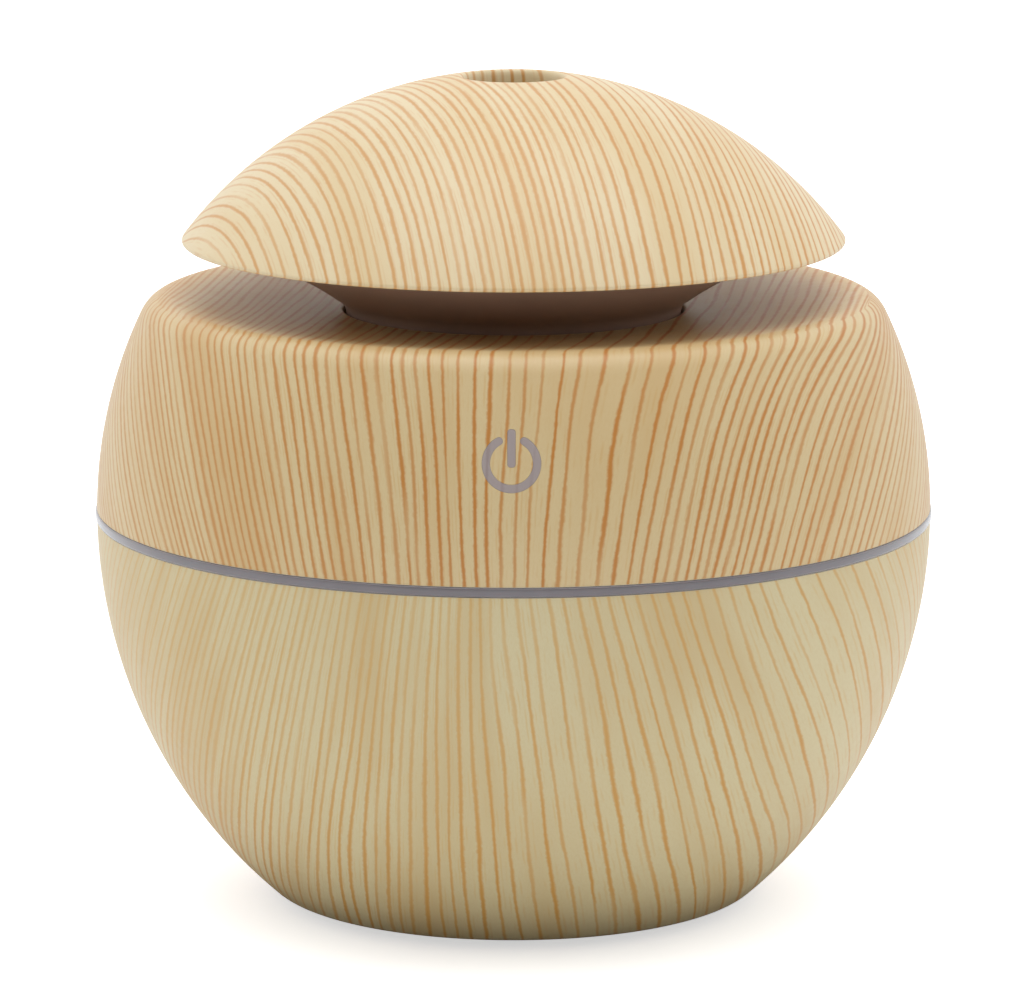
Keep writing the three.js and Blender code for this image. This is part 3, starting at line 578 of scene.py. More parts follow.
def milky_plastic():
    """Translucent diffusing plastic of the light ring."""
    shader = Shader(
        "milky_plastic", subsurface_weight=0.2, subsurface_scale=0.002, coat_weight=0.9, coat_roughness=0.15
    )
    place = shader.object_place()
    cloud = shader.noise(place, 0.12, 2)
    body = shader.mix(shader.ramp(cloud, 0.3, 0.7), colour(112, 106, 109), colour(122, 116, 119))
    shader.bump(shader.noise(place, 3.0, 2), 0.3, 0.004)
    return shader.done(body, shader.ramp(cloud, 0.3, 0.7, 0.28, 0.36))


def circuit_board():
    """Solder mask over copper: darker mask, raised traces and tinned pads."""
    shader = Shader("circuit_board", specular_ior_level=0.55)
    place = shader.object_place()
    squares = shader.add("TexVoronoi", {"Vector": place, "Scale": 0.42}, distance="CHEBYCHEV")
    edges = shader.ramp(squares.outputs["Distance"], 0.42, 0.5)
    traces = shader.add("TexBrick", {"Vector": place, "Scale": 0.22, "Mortar Size": 0.03}).outputs["Fac"]
    body = shader.mix(traces, colour(24, 84, 48), colour(46, 120, 70))
    body = shader.mix(shader.maths("MULTIPLY", edges, 0.5), body, colour(16, 66, 38))
    dots = shader.add("TexVoronoi", {"Vector": place, "Scale": 0.3})
    pads = shader.ramp(dots.outputs["Distance"], 0.1, 0.13, 1, 0)
    body = shader.mix(pads, body, colour(196, 194, 186))
    shader.bump(traces, 0.4, 0.03)
    return shader.done(body, shader.ramp(pads, 0, 1, 0.34, 0.25))


def led_plastic():
    """Clear cap over a yellow phosphor spot."""
    shader = Shader("led", coat_weight=0.5)
    place = shader.object_place()
    spots = shader.noise(place, 1.1, 2)
    body = shader.mix(shader.ramp(spots, 0.4, 0.6), colour(238, 232, 196), colour(230, 206, 92))
    return shader.done(body, shader.ramp(spots, 0.3, 0.7, 0.22, 0.32))


UPPER_LINES = 216  # grain lines round each shell
LOWER_LINES = 240
CAP_LINES = 4096  # far more than cross the cap, so none repeats

CLEAR_TINT = {"subsurface_weight": 0.2, "subsurface_scale": 0.002}

# Name, colour, roughness, and where they differ from the usual: grain size and depth in mm, tint.
MOULDED = (
    ("inner_plastic", (232, 224, 208), 0.45),
    ("plain_plastic", (188, 161, 147), 0.42, 0.3, 0.008),
    ("white_plastic", (222, 214, 198), 0.5, 0.3, 0.02),
    ("dark_plastic", (44, 46, 50), 0.42, 0.3, 0.01),
    ("rubber", (58, 57, 56), 0.8, 0.4, 0.03, 0.08),
    ("ferrite", (62, 60, 60), 0.7, 0.35, 0.04, 0.1),
    ("lead_red", (166, 34, 38), 0.45, 0.8, 0.004),
    ("lead_black", (40, 40, 42), 0.45, 0.8, 0.004),
    ("lead_white", (222, 220, 214), 0.45, 0.8, 0.004),
)

# Film, number of lines, its two colours, the lines' two colours, strength, weakest line.
PRINTS = (
    ("cap", CAP_LINES, (233, 214, 174), (226, 200, 150), (210, 150, 78), (219, 172, 108), 1.0, 0.75),
    ("upper", UPPER_LINES, (220, 197, 149), (211, 177, 121), (196, 129, 54), (209, 163, 94), 1.0, 0.7),
    ("lower", LOWER_LINES, (217, 202, 158), (207, 181, 128), (206, 151, 68), (212, 172, 102), 0.95, 0.7),
    ("key", UPPER_LINES, (170, 157, 154), (163, 150, 146), (150, 132, 128), (164, 150, 150), 0.6, 0.6),
)

MATERIALS = {
    "milky_plastic": milky_plastic(),
    "tank_plastic": moulded("tank_plastic", colour(228, 226, 220), 0.28, 0.6, 0.004, 0.03, **CLEAR_TINT),
    "silicone": moulded("silicone", colour(224, 222, 214), 0.6, 0.5, 0.005, 0.02, sheen_weight=0.15),
    "brass": metal("brass", colour(214, 178, 104), 0.3, 1.5),
    "steel": metal("steel", colour(196, 198, 202), 0.28, 2.0),
    "foil": metal("foil", colour(176, 182, 194), 0.35, 0.8, (1, 1, 0.1)),
    "circuit_board": circuit_board(),
    "led": led_plastic(),
}
MATERIALS.update({name: moulded(name, colour(*rgb), *rest) for name, rgb, *rest in MOULDED})
MATERIALS.update({
    f"{film}_print": wood_print(f"{film}_print", lines, *(colour(*rgb) for rgb in colours), strength, weakest)
    for film, lines, *colours, strength, weakest in PRINTS
})


def finishes(*names):
    return [MATERIALS[name] for name in names]


def turned_piece(node, outline, material, sides=SIDES):
    """A turned piece of one material, named after the CAD node it will stand for."""
    return turned(node + "_fine", [(0, outline)], finishes(material), sides)


def ring_of(node, outline, material, sides=SIDES):
    """A turned piece that needs no cuts."""
    stands_for(turned_piece(node, outline, material, sides), node)


# ---- Grain of the printed film ----
def bulge(angles, centre, width):
    """A smooth rise round that angle, in degrees, which closes round the circle."""
    return np.exp((np.cos(angles - math.radians(centre)) - 1) / math.radians(width) ** 2)


def line_counter(lines, usual, *changes):
    """A function that turns an azimuth into a line number, whole round the circle.

    The lines stand as close as usual, per radian, with changes (azimuth, width in degrees, more).
    """
    angles = np.linspace(-math.pi, math.pi, 1441)
    per_radian = np.full(len(angles), float(usual))
    for centre, width, more in changes:
        per_radian = per_radian + more * bulge(angles, centre, width)
    total = np.concatenate([[0], np.cumsum((per_radian[1:] + per_radian[:-1]) / 2)])
    total *= lines / total[-1]
    return lambda psi: np.interp((psi + math.pi) % (2 * math.pi) - math.pi, angles, total)


LOWER_NUMBER = line_counter(
    LOWER_LINES, 29, (-31, 12, 24), (-9, 6, 15), (50, 14, -14), (130, 30, 20), (-130, 30, 18)
)
UPPER_NUMBER = line_counter(
    UPPER_LINES, 30, (-40, 14, 18), (-10, 7, 8), (26, 6, 15), (12, 6, -5), (165, 30, 8)
)


def seam_azimuth(azimuth, spread, centre, at_sides):
    """Where the line through a point crosses the light ring.

    Lines spread away from an azimuth on their way from the ring: by spread in front, by more
    at the sides and by little behind. All angles are in radians.
    """
    weight = 0.15 + 0.425 * (1 + np.cos(azimuth)) + at_sides * np.sin(azimuth) ** 4
    half = ((azimuth - centre + math.pi) % (2 * math.pi) - math.pi) / 2
    shrink = np.exp(-spread * weight)
    return centre + 2 * np.arctan2(np.sin(half) * shrink, np.cos(half))


def lower_grain(x, y, z):
    """Line number, distance along the grain and boldness on the lower shell."""
    depth = SEAM_Z - z
    spread = np.radians(0.88 * depth + 0.0002 * depth**3)
    psi = seam_azimuth(np.arctan2(x, -y), spread, math.radians(-5), 0.5)
    bold = 0.35 + 0.35 * bulge(psi, 35, 30) + 0.013 * depth
    return LOWER_NUMBER(psi), depth * LINE_STRETCH, bold


def side_azimuth(azimuth, rise):
    curl = 0.00065 - 0.00045 * bulge(azimuth, -58, 26)
    spread = np.radians(0.616 * rise + curl * rise**3)
    return seam_azimuth(azimuth, spread, math.radians(-2.5), 1.1)


TURN_R = CREST_R + 1.5  # on the round shoulder, where the lines turn from the side to the top
TURN_Z = CREST_Z - 0.27
TOP_SLANT = math.radians(7.5)  # of the lines on the dished top, to the right going back
LINE_STRETCH = 1.2  # how fast a line's look changes along the body's grain


def upper_grain(x, y, z):
    """The same on the upper shell: the lines turn over its crest and run across the dished top."""
    side = side_azimuth(np.arctan2(x, -y), z - SEAM_Z)
    reach = np.maximum(np.hypot(x, y), TURN_R)
    across = np.clip((x * math.cos(TOP_SLANT) - y * math.sin(TOP_SLANT)) / reach, -0.999, 0.999)
    top = side_azimuth(np.arcsin(across) - TOP_SLANT, TURN_Z - SEAM_Z)
    on_top = (np.hypot(x, y) < TURN_R) & (z > CREST_Z - 2)
    psi = np.where(on_top, top, side)
    from_turn = x * math.sin(TOP_SLANT) + y * math.cos(TOP_SLANT) + TURN_R * np.sqrt(1 - across**2)
    along = np.where(on_top, TURN_Z - SEAM_Z + from_turn, z - SEAM_Z)
    bold = 0.72 + 0.35 * bulge(psi, 12, 22)
    return UPPER_NUMBER(psi), along * LINE_STRETCH, bold


CAP_GRAIN_ANGLE = math.radians(18)


def cap_grain(x, y, z):
    """Nearly straight parallel lines on the cap, wider apart in one broad band."""
    across = x * math.cos(CAP_GRAIN_ANGLE) + y * math.sin(CAP_GRAIN_ANGLE)
    along = y * math.cos(CAP_GRAIN_ANGLE) - x * math.sin(CAP_GRAIN_ANGLE)
    across = across + 0.0016 * (along + 12) ** 2
    number = 400 + 0.88 * across - 2.1 * np.tanh((across - 9) / 7)
    bold = 0.8 + 0.35 * np.clip(across / 40, -0.15, 0.6)
    return number, along, bold


def read_vectors(items, name):
    values = np.empty(len(items) * 3, np.float32)
    items.foreach_get(name, values)
    return values.reshape(-1, 3).astype(float)


def read_whole(items, name):
    values = np.empty(len(items), np.int32)
    items.foreach_get(name, values)
    return values


def line_spacing(grain, lines, points, normals):
    """Distance in mm from one grain line to the next along the surface, at each point."""
    reach = 0.05  # mm to each side
    slope = np.zeros_like(points)
    for axis in range(3):
        ahead, behind = points.copy(), points.copy()
        ahead[:, axis] += reach
        behind[:, axis] -= reach
        change = grain(*ahead.T)[0] - grain(*behind.T)[0]
        slope[:, axis] = ((change + lines / 2) % lines - lines / 2) / (2 * reach)
    slope -= normals * np.sum(slope * normals, axis=1)[:, None]
    return np.clip(1 / np.maximum(np.linalg.norm(slope, axis=1), 1e-3), 0.25, 4)


def put_grain(obj, grain, lines):
    """Stores each corner's "grain" and "flow" values, which the film's material reads."""
    mesh = obj.data
    points = read_vectors(mesh.vertices, "co") / MM
    number, along, bold = grain(*points.T)
    spacing = line_spacing(grain, lines, points, read_vectors(mesh.vertices, "normal"))

    loop_vertex = read_whole(mesh.loops, "vertex_index")
    corner_number = number[loop_vertex]
    face_start = corner_number[read_whole(mesh.polygons, "loop_start")]
    first = np.repeat(face_start, read_whole(mesh.polygons, "loop_total"))
    corner_number -= lines * np.round((corner_number - first) / lines)  # one count in each face

    turn = 2 * math.pi * corner_number / lines
    radius = lines / (2 * math.pi)
    flow = np.stack([radius * np.cos(turn), radius * np.sin(turn), along[loop_vertex] / 8], 1)
    values = np.stack([corner_number, bold[loop_vertex], spacing[loop_vertex]], 1)
    for name, data in (("grain", values), ("flow", flow)):
        attribute = mesh.attributes.new(name, "FLOAT_VECTOR", "CORNER")
        attribute.data.foreach_set("vector", data.astype(np.float32).ravel())


# ---- Cap ----
def cap_dome():
    nose = 0.35  # radius of the rim's edge
    nose_r = math.sqrt((DOME_R - nose) ** 2 - (RIM_Z + nose - DOME_CENTRE_Z) ** 2)
    slope = math.degrees(math.atan2(RIM_Z + nose - DOME_CENTRE_Z, nose_r))
    inner = INSERT_R + 0.15
    lip_z = dome_z(MIST_R) - 3.2
    edge_r = MIST_R + 0.9
    print_run = [
        (inner + 0.9, RIM_Z),
        *arc(nose_r, RIM_Z + nose, nose, -90, slope),
        *arc(0, DOME_CENTRE_Z, DOME_R, slope, math.degrees(math.acos(edge_r / DOME_R)), 48),
        *bend((edge_r, dome_z(edge_r)), (MIST_R, dome_z(MIST_R)), (MIST_R, dome_z(MIST_R) - 2.2)),
        (MIST_R, lip_z),
    ]
    inside = [
        (MIST_R, lip_z),
        (MIST_R + 2.4, lip_z),
        *steps(MIST_R + 2.9, inner, 20, lambda r: (r, dome_z(r, 2.2))),
        (inner, RIM_Z),
        (inner + 0.9, RIM_Z),
    ]
    dome = turned("cap_dome_fine", [(0, print_run), (1, inside)], finishes("cap_print", "inner_plastic"))
    put_grain(dome, cap_grain, CAP_LINES)
    stands_for(dome, "cap_dome")


FLARE_R = 38.5


def flare_z(r, lift=0):
    """The cap's underside, which flares from the neck to the dome's rim like a trumpet."""
    return RIM_Z - 0.12 + lift - 7.4 * (max(FLARE_R - r, 0) / (FLARE_R - NECK_R)) ** 1.9


SEAL_LOW, SEAL_HIGH = span("cap_seal")


def cap_insert():
    skirt_z = low("cap_insert").z
    skirt_r = NECK_R - 0.4
    groove_r = NECK_R - 1.4
    inner = NECK_R - 2.2
    edge_r = INSERT_R - 0.2
    outside = [
        *arc(inner + 0.4, skirt_z + 0.4, 0.4, 180, 270, 4),
        *arc(skirt_r - 0.4, skirt_z + 0.4, 0.4, -90, 0, 4),
        (skirt_r, SEAL_LOW - 0.2), (groove_r, SEAL_LOW - 0.2),
        (groove_r, SEAL_HIGH + 0.2), (skirt_r, SEAL_HIGH + 0.2), (NECK_R, SEAL_HIGH + 1),
        *bend((NECK_R, HOLE_Z - 0.6), (NECK_R, flare_z(NECK_R) + 0.3), (NECK_R + 1.5, flare_z(NECK_R + 1.5))),
        *steps(NECK_R + 1.6, edge_r, 40, lambda r: (r, flare_z(r))),
        *bend((edge_r, flare_z(edge_r)), (INSERT_R, flare_z(INSERT_R)), (INSERT_R, RIM_Z + 0.3), 4),
    ]
    inside = [
        (INSERT_R, RIM_Z + 0.3),
        (INSERT_R - 1.2, RIM_Z + 1.4),
        *steps(INSERT_R - 5, NECK_R + 2.4, 24, lambda r: (r, flare_z(r, 2.7))),
        *bend((NECK_R + 0.6, HOLE_Z + 3), (inner, HOLE_Z + 1.6), (inner, HOLE_Z - 0.5)),
        (inner, skirt_z + 0.4),
    ]
    plastic = finishes("plain_plastic", "plain_plastic")
    stands_for(turned("cap_insert_fine", [(0, outside), (1, inside)], plastic), "cap_insert")


def cap_seal():
    inner, outer = NECK_R - 1.25, high("cap_seal").x
    crown = (SEAL_LOW + SEAL_HIGH) / 2
    ribs, rib_height = 3, 0.55
    outline = [
        (inner, SEAL_LOW),
        *steps(0, 1, 36, lambda t: (
            outer - rib_height + rib_height * abs(math.sin(math.pi * ribs * t)) ** 0.7,
            SEAL_LOW + (SEAL_HIGH - SEAL_LOW) * (0.06 + 0.88 * t),
        )),
        (inner, SEAL_HIGH),
        (inner, crown),
    ]
    ring_of("cap_seal", outline, "silicone")


def mist_tube():
    """The bell in the neck narrows in two bends to the chimney under the mist hole."""
    wall = 1.2
    mouth_z, top = span("mist_tube")
    mouth_r = NECK_R - 2.5
    mouth_in = mouth_r - wall
    shoulder_z, throat_z = 73, 80
    out_r, in_r = MIST_R + wall, MIST_R
    out = [
        (mouth_r, mouth_z + 2),
        *bend((mouth_r, mouth_z + 2), (mouth_r, mouth_z + 8), (MIST_R + 4.6, shoulder_z), 12),
        *bend((MIST_R + 4.6, shoulder_z), (out_r, throat_z - 2.4), (out_r, throat_z), 12),
        (out_r, top),
    ]
    back = [
        (in_r, top),
        *bend((in_r, throat_z), (in_r, throat_z - 2.8), (MIST_R + 3.6, shoulder_z - 0.6), 12),
        *bend((MIST_R + 3.6, shoulder_z - 0.6), (mouth_in, mouth_z + 7.6), (mouth_in, mouth_z + 2.4), 12),
    ]
    ring_of("mist_tube", [(mouth_in, mouth_z), (mouth_r, mouth_z), *out, *back], "tank_plastic", 128)


# ---- Upper shell and its key ----
SHELL_EDGE_Z = SEAM_Z + RING_HALF + 0.02


def upper_outside():
    """The printed side, the round shoulder and the dished top, down into the hole."""
    round_z = CREST_Z - CREST_ROUND
    side = (shoulder_r(round_z), round_z)
    lean = (round_z - SEAM_Z) / (side[0] - BODY_R + SHOULDER_ARC)  # inward per mm upward
    corner = (side[0] - lean * CREST_ROUND, CREST_Z)
    return [
        *steps(SHELL_EDGE_Z + 0.05, round_z - 0.3, 40, lambda z: (shoulder_r(z), z)),
        *bend(side, corner, (CREST_R, CREST_Z), 20),
        *steps(CREST_R - 0.3, HOLE_R + 0.5, 40, lambda r: (r, deck_z(r))),
        *bend((HOLE_R + 0.4, deck_z(HOLE_R + 0.4)), (HOLE_R, HOLE_Z), (HOLE_R, HOLE_Z - 0.4)),
    ]


# The power mark on the key; the gap is half the ring's opening in degrees.
MARK = {"radius": 2.88, "stroke": 0.9, "gap": 29.5, "bar_top": 3.85, "bar_foot": -0.45}
MARK_LOW, MARK_HIGH = -1.8, 1.5  # along the outward normal, from the shell's surface
PLATE_R = 5.2
PLATE_TOP = -1.5


def on_key(obj):
    """Moves a piece drawn on the XY plane to the shell's slope, its Z along the outward normal."""
    turn = Matrix.Rotation(math.pi / 2 - KEY_TILT, 4, "X")
    obj.data.transform(Matrix.Translation((0, -shoulder_r(KEY_Z) * MM, KEY_Z * MM)) @ turn)
    return obj


def at_angle(radius, angle):
    return radius * math.cos(angle), radius * math.sin(angle)


def mark_prisms(play, index=0):
    """The power mark's open ring and bar, with round ends; play makes them wider."""
    half = MARK["stroke"] / 2 + play
    start = math.radians(90 + MARK["gap"])
    end = math.radians(450 - MARK["gap"])
    radius = MARK["radius"]
    outer = steps(start, end, 72, lambda a: at_angle(radius + half, a))
    inner = steps(end, start, 72, lambda a: at_angle(radius - half, a))
    last, first = math.degrees(end), math.degrees(start)
    cap_end = arc(*at_angle(radius, end), half, last, last + 180)
    cap_start = arc(*at_angle(radius, start), half, first + 180, first + 360)
    ring = outer + cap_end[1:-1] + inner + cap_start[1:-1]
    bar_half = (MARK["bar_top"] - MARK["bar_foot"]) / 2 + play
    bar = rectangle(half, bar_half, half * 0.75, 0, (MARK["bar_top"] + MARK["bar_foot"]) / 2)
    return [prism("mark", outline, MARK_LOW, MARK_HIGH, (), index) for outline in (ring, bar)]


def upper_shell():
    deck = 2.2  # thickness of the dished top
    deck_r, side_z = 40.4, 67.4  # where the deck's underside bends down into the side
    collar_r = HOLE_R + 2
    outside = upper_outside()
    inside = [
        outside[-1],
        *bend((HOLE_R, COLLAR_Z + 0.3), (HOLE_R, COLLAR_Z), (HOLE_R + 0.3, COLLAR_Z), 4),
        (collar_r, COLLAR_Z),
        *bend(
            (collar_r, deck_z(22, deck) - 1), (collar_r, deck_z(22, deck)),
            (collar_r + 1, deck_z(collar_r + 1, deck)),
        ),
        *steps(collar_r + 2, deck_r, 12, lambda r: (r, deck_z(r, deck))),
        *bend((deck_r, deck_z(deck_r, deck)), (42.4, deck_z(42, deck)), (shoulder_r(side_z, WALL), side_z)),
        *steps(66, SHELL_EDGE_Z, 12, lambda z: (shoulder_r(z, WALL), z)),
        (shoulder_r(SHELL_EDGE_Z) - 0.05, SHELL_EDGE_Z),
        outside[0],
    ]
    shell = turned("upper_shell_fine", [(0, outside), (1, inside)], finishes("upper_print", "inner_plastic"))
    hole = prism("key_hole", circle(PLATE_R + 0.15), -5, PLATE_TOP + 0.15, (), 1)
    cuts = [on_key(tool) for tool in (hole, *mark_prisms(0.02, 1))]
    carve(shell, cuts)
    follow_outline(shell, outside)
    put_grain(shell, upper_grain, UPPER_LINES)
    stands_for(shell, "upper_shell")


def key_light_pipe():
    """The mark's raised ring and bar on their plate, cut flush with the shell's surface."""
    outside = upper_outside()
    skin = turned("key_skin", [(0, [(0, SHELL_EDGE_Z + 0.05), *outside, (0, HOLE_Z - 0.7)])])
    plate = prism("key_light_pipe_fine", circle(PLATE_R), -WALL - 1.2, PLATE_TOP, finishes("key_print"))
    pipe = on_key(plate)
    carve(pipe, [on_key(tool) for tool in mark_prisms(0)], "UNION")
    carve(pipe, [skin], "INTERSECT")
    follow_outline(pipe, outside)
    put_grain(pipe, upper_grain, UPPER_LINES)
    stands_for(pipe, "key_light_pipe")


# ---- Light ring and lower shell ----
def light_ring():
    """A band that stands a little proud, on a flange inside the seam."""
    inner, outer = span("light_ring")
    flange_in, flange_out = 46.3, 47.4
    edge = BODY_R + RING_PROUD
    low_z, high_z, soft = SEAM_Z - RING_HALF, SEAM_Z + RING_HALF, 0.25
    outline = [
        (flange_in, inner), (flange_out, inner), (flange_out, low_z),
        *arc(edge - soft, low_z + soft, soft, -90, 0, 4),
        *arc(edge - soft, high_z - soft, soft, 0, 90, 4),
        (flange_out, high_z), (flange_out, outer), (flange_in, outer),
    ]
    ring_of("light_ring", outline, "milky_plastic")


# The recess round the power socket: half its width and height, its floor's Y and its walls.
SOCKET = {"half_x": 6, "half_z": 4, "centre_z": 14.4, "face": 35.2, "wall": 1.2}
PORT = {"half_x": 4.2, "half_z": 1.8, "corner": 0.5, "centre_z": 14.7}  # the opening in its floor


def turned_up(obj):
    """Turns a prism drawn in (x, z) so that its raised side points along +Y."""
    obj.data.transform(Matrix(((1, 0, 0, 0), (0, 0, 1, 0), (0, 1, 0, 0), (0, 0, 0, 1))))
    obj.data.flip_normals()
    return obj


def socket_tools(top):
    """The block that stands round the socket's recess, cut to the bowl's skin, and what is cut out."""
    half_x, half_z, centre_z = SOCKET["half_x"], SOCKET["half_z"], SOCKET["centre_z"]
    face, wall = SOCKET["face"], SOCKET["wall"]
    around = rectangle(half_x + wall, half_z + wall, 2.2, 0, centre_z)
    block = turned_up(prism("tunnel", around, face - wall, 46, (), 1))
    bowl = steps(BASE_Z + 1, top, 40, lambda z: (bowl_r(z, 0.9), z))
    carve(block, [turned("bowl_skin", [(1, [(0, BASE_Z + 1), *bowl, (0, top)])])], "INTERSECT")
    within = rectangle(half_x, half_z, 1.2, 0, centre_z)
    recess = turned_up(prism("recess", within, face, 50, (), 1))
    opening = rectangle(PORT["half_x"], PORT["half_z"], PORT["corner"], 0, PORT["centre_z"])
    window = turned_up(prism("window", opening, face - 2, face + 0.8, (), 1))
    return block, [recess, window]


def lower_shell():
    top = SEAM_Z - RING_HALF - 0.02
    corner = bowl_r(BASE_Z)
    plate_r = high("base_plate").x + 0.2
    floor_z, floor_top, ledge_r = BASE_Z + 2.2, BASE_Z + 4.2, 20.5
    outside = [
        *bend((corner - 1.0, BASE_Z), (corner, BASE_Z), (bowl_r(BASE_Z + 0.8), BASE_Z + 0.8), 10),
        *steps(BASE_Z + 1.2, top - 0.05, 72, lambda z: (bowl_r(z), z)),
    ]
    floor_r, wall_r = bowl_r(floor_top, WALL), bowl_r(floor_top + 0.8, WALL)
    inside = [
        outside[-1],
        (bowl_r(top) - 0.05, top),
        *steps(top, floor_top + 0.8, 36, lambda z: (bowl_r(z, WALL), z)),
        *bend((wall_r, floor_top + 0.8), (floor_r, floor_top), (floor_r - 1, floor_top), 5),
        (ledge_r, floor_top), (ledge_r, floor_z), (plate_r, floor_z),
        (plate_r, BASE_Z + 0.2), (plate_r + 0.2, BASE_Z), outside[0],
    ]
    finish = finishes("lower_print", "inner_plastic")
    shell = turned("lower_shell_fine", [(0, outside), (1, inside)], finish)
    block, cuts = socket_tools(top)
    carve(shell, [block], "UNION")
    carve(shell, cuts)
    follow_outline(shell, outside)
    put_grain(shell, lower_grain, LOWER_LINES)
    stands_for(shell, "lower_shell")


# ---- Tank and what stands in it ----
def posts(nodes, radius, bottom, top, sides=32):
    """Round posts or holes on the axes of some screws or feet."""
    return [
        prism("post", circle(radius, middle(node).x, middle(node).y, sides), bottom, top) for node in nodes
    ]


def numbered(name, count):
    return [f"{name}_{i + 1}" for i in range(count)]


BASE_SCREWS = numbered("base_screw", 4)
TANK_SCREWS = numbered("tank_screw", 4)
CLAMP_SCREWS = numbered("clamp_screw", 3)
BOARD_SCREWS = numbered("board_screw", 2)
FAN_SCREWS = numbered("fan_screw", 2)
FEET = numbered("foot", 4)
FLANGE_LOW, FLANGE_HIGH = 42, 44
STAGE_LOW_Z = 18


def duct_prism(name, inset, corner, bottom, top, materials=()):
    """A prism along the air duct, smaller than it by an inset."""
    centre, half = middle("air_duct"), half_size("air_duct")
    outline = rectangle(half.x - inset, half.y - inset, corner, centre.x, centre.y)
    return prism(name, outline, bottom, top, materials)


def duct_inside(bottom, top):
    return duct_prism("duct_inside", 1, 0.6, bottom, top)


def tank():
    """The cup with its flange, the water stage's ring under it, and posts for the screws."""
    out_r = TANK_R + 2
    rim, floor, flange_r = high("tank").z, TANK_FLOOR_Z, high("tank").x
    fill_z = 56  # of the fill line
    well_r, stage_in, stage_out = 7.5, 10.6, 13.2
    outline = [
        (well_r, floor - 2), (stage_in, floor - 2), (stage_in, STAGE_LOW_Z),
        (stage_out, STAGE_LOW_Z), (stage_out, floor - 2),
        *bend((out_r - 2, floor - 2), (out_r, floor - 2), (out_r, floor)),
        (out_r, FLANGE_LOW), (flange_r, FLANGE_LOW), (flange_r, FLANGE_HIGH), (out_r, FLANGE_HIGH),
        *arc(out_r - 0.3, rim - 0.3, 0.3, 0, 90, 4),
        *arc(TANK_R + 0.3, rim - 0.3, 0.3, 90, 180, 4),
        *arc(TANK_R, fill_z, 0.35, 90, 270, 8),
        *bend((TANK_R, floor + 5), (TANK_R, floor), (TANK_R - 5, floor), 14),
        *bend((9.4, floor), (well_r, floor), (well_r, floor - 1), 6),
    ]
    cup = turned_aside(turned_piece("tank", outline, "tank_plastic"))
    post_low = high("main_board").z + 0.15
    joined = posts(BASE_SCREWS, 3, post_low, floor - 1)
    joined += posts(CLAMP_SCREWS, 2.2, STAGE_LOW_Z + 0.05, floor - 1)
    carve(cup, joined, "UNION")
    holes = posts(BASE_SCREWS, 1.3, post_low - 1, floor - 2)
    holes += posts(CLAMP_SCREWS, 1, STAGE_LOW_Z - 1, floor - 1.5)
    holes += posts(TANK_SCREWS, 1.4, FLANGE_LOW - 1, FLANGE_HIGH + 1)
    carve(cup, [*holes, duct_inside(floor - 3, floor + 1)])
    stands_for(cup, "tank")


def air_duct():
    bottom, top = span("air_duct")
    duct = duct_prism("air_duct_fine", 0, 1.4, bottom, top, finishes("tank_plastic"))
    half_x = half_size("air_duct").x
    inner_side, window_z, half_wide = middle("air_duct").x + half_x, 60.5, 4.1
    opening = rectangle(half_x + 1, 3, 0.9, inner_side + 1, window_z)
    window = turned_up(prism("window", opening, -half_wide, half_wide))
    carve(duct, [duct_inside(bottom - 1, top + 1), window])
    stands_for(duct, "air_duct")


def piezo_disc():
    """A brass disc with a silvered ceramic face."""
    bottom, top = span("piezo_disc")
    radius = high("piezo_disc").x
    edge = [(0, bottom), *arc(radius - 0.1, bottom + 0.1, 0.1, -90, 0, 3)]
    rim = [*arc(radius - 0.1, top - 0.1, 0.1, 0, 90, 3), (7, top - 0.05)]
    face = [(7, top - 0.05), (6.6, top), (0, top)]
    disc = turned("piezo_disc_fine", [(0, edge + rim), (1, face)], finishes("brass", "steel"), 96)
    stands_for(disc, "piezo_disc")


def small_rings():
    """Gasket, seal and clamp of the water stage."""
    bottom = low("tank_gasket").z
    inner, outer = TANK_R + 0.1, TANK_R + 1.9
    lip = arc((inner + outer) / 2, bottom + 0.8, 0.5, 0, 180, 10)
    outline = [(inner, bottom), (outer, bottom), (outer, bottom + 0.8), *lip, (inner, bottom + 0.8)]
    ring_of("tank_gasket", outline, "silicone")
    bottom, top = span("piezo_seal")
    inner, outer = 7.8, high("piezo_seal").x
    outline = rounded([(inner, bottom), (outer, bottom), (outer, top), (inner, top)], 0.3)
    ring_of("piezo_seal", outline, "silicone", 96)
    bottom, top = span("piezo_clamp")
    flange_top, reach = bottom + 1.6, high("piezo_clamp").x
    outline = [
        (5, bottom), (reach, bottom), (reach, flange_top), (9.8, flange_top),
        (9.8, top), (7.5, top), (7.5, flange_top), (5, flange_top),
    ]
    clamp = turned_aside(turned_piece("piezo_clamp", rounded(outline, 0.25), "white_plastic", 96))
    carve(clamp, posts(CLAMP_SCREWS, 1.2, bottom - 1, top))
    stands_for(clamp, "piezo_clamp")


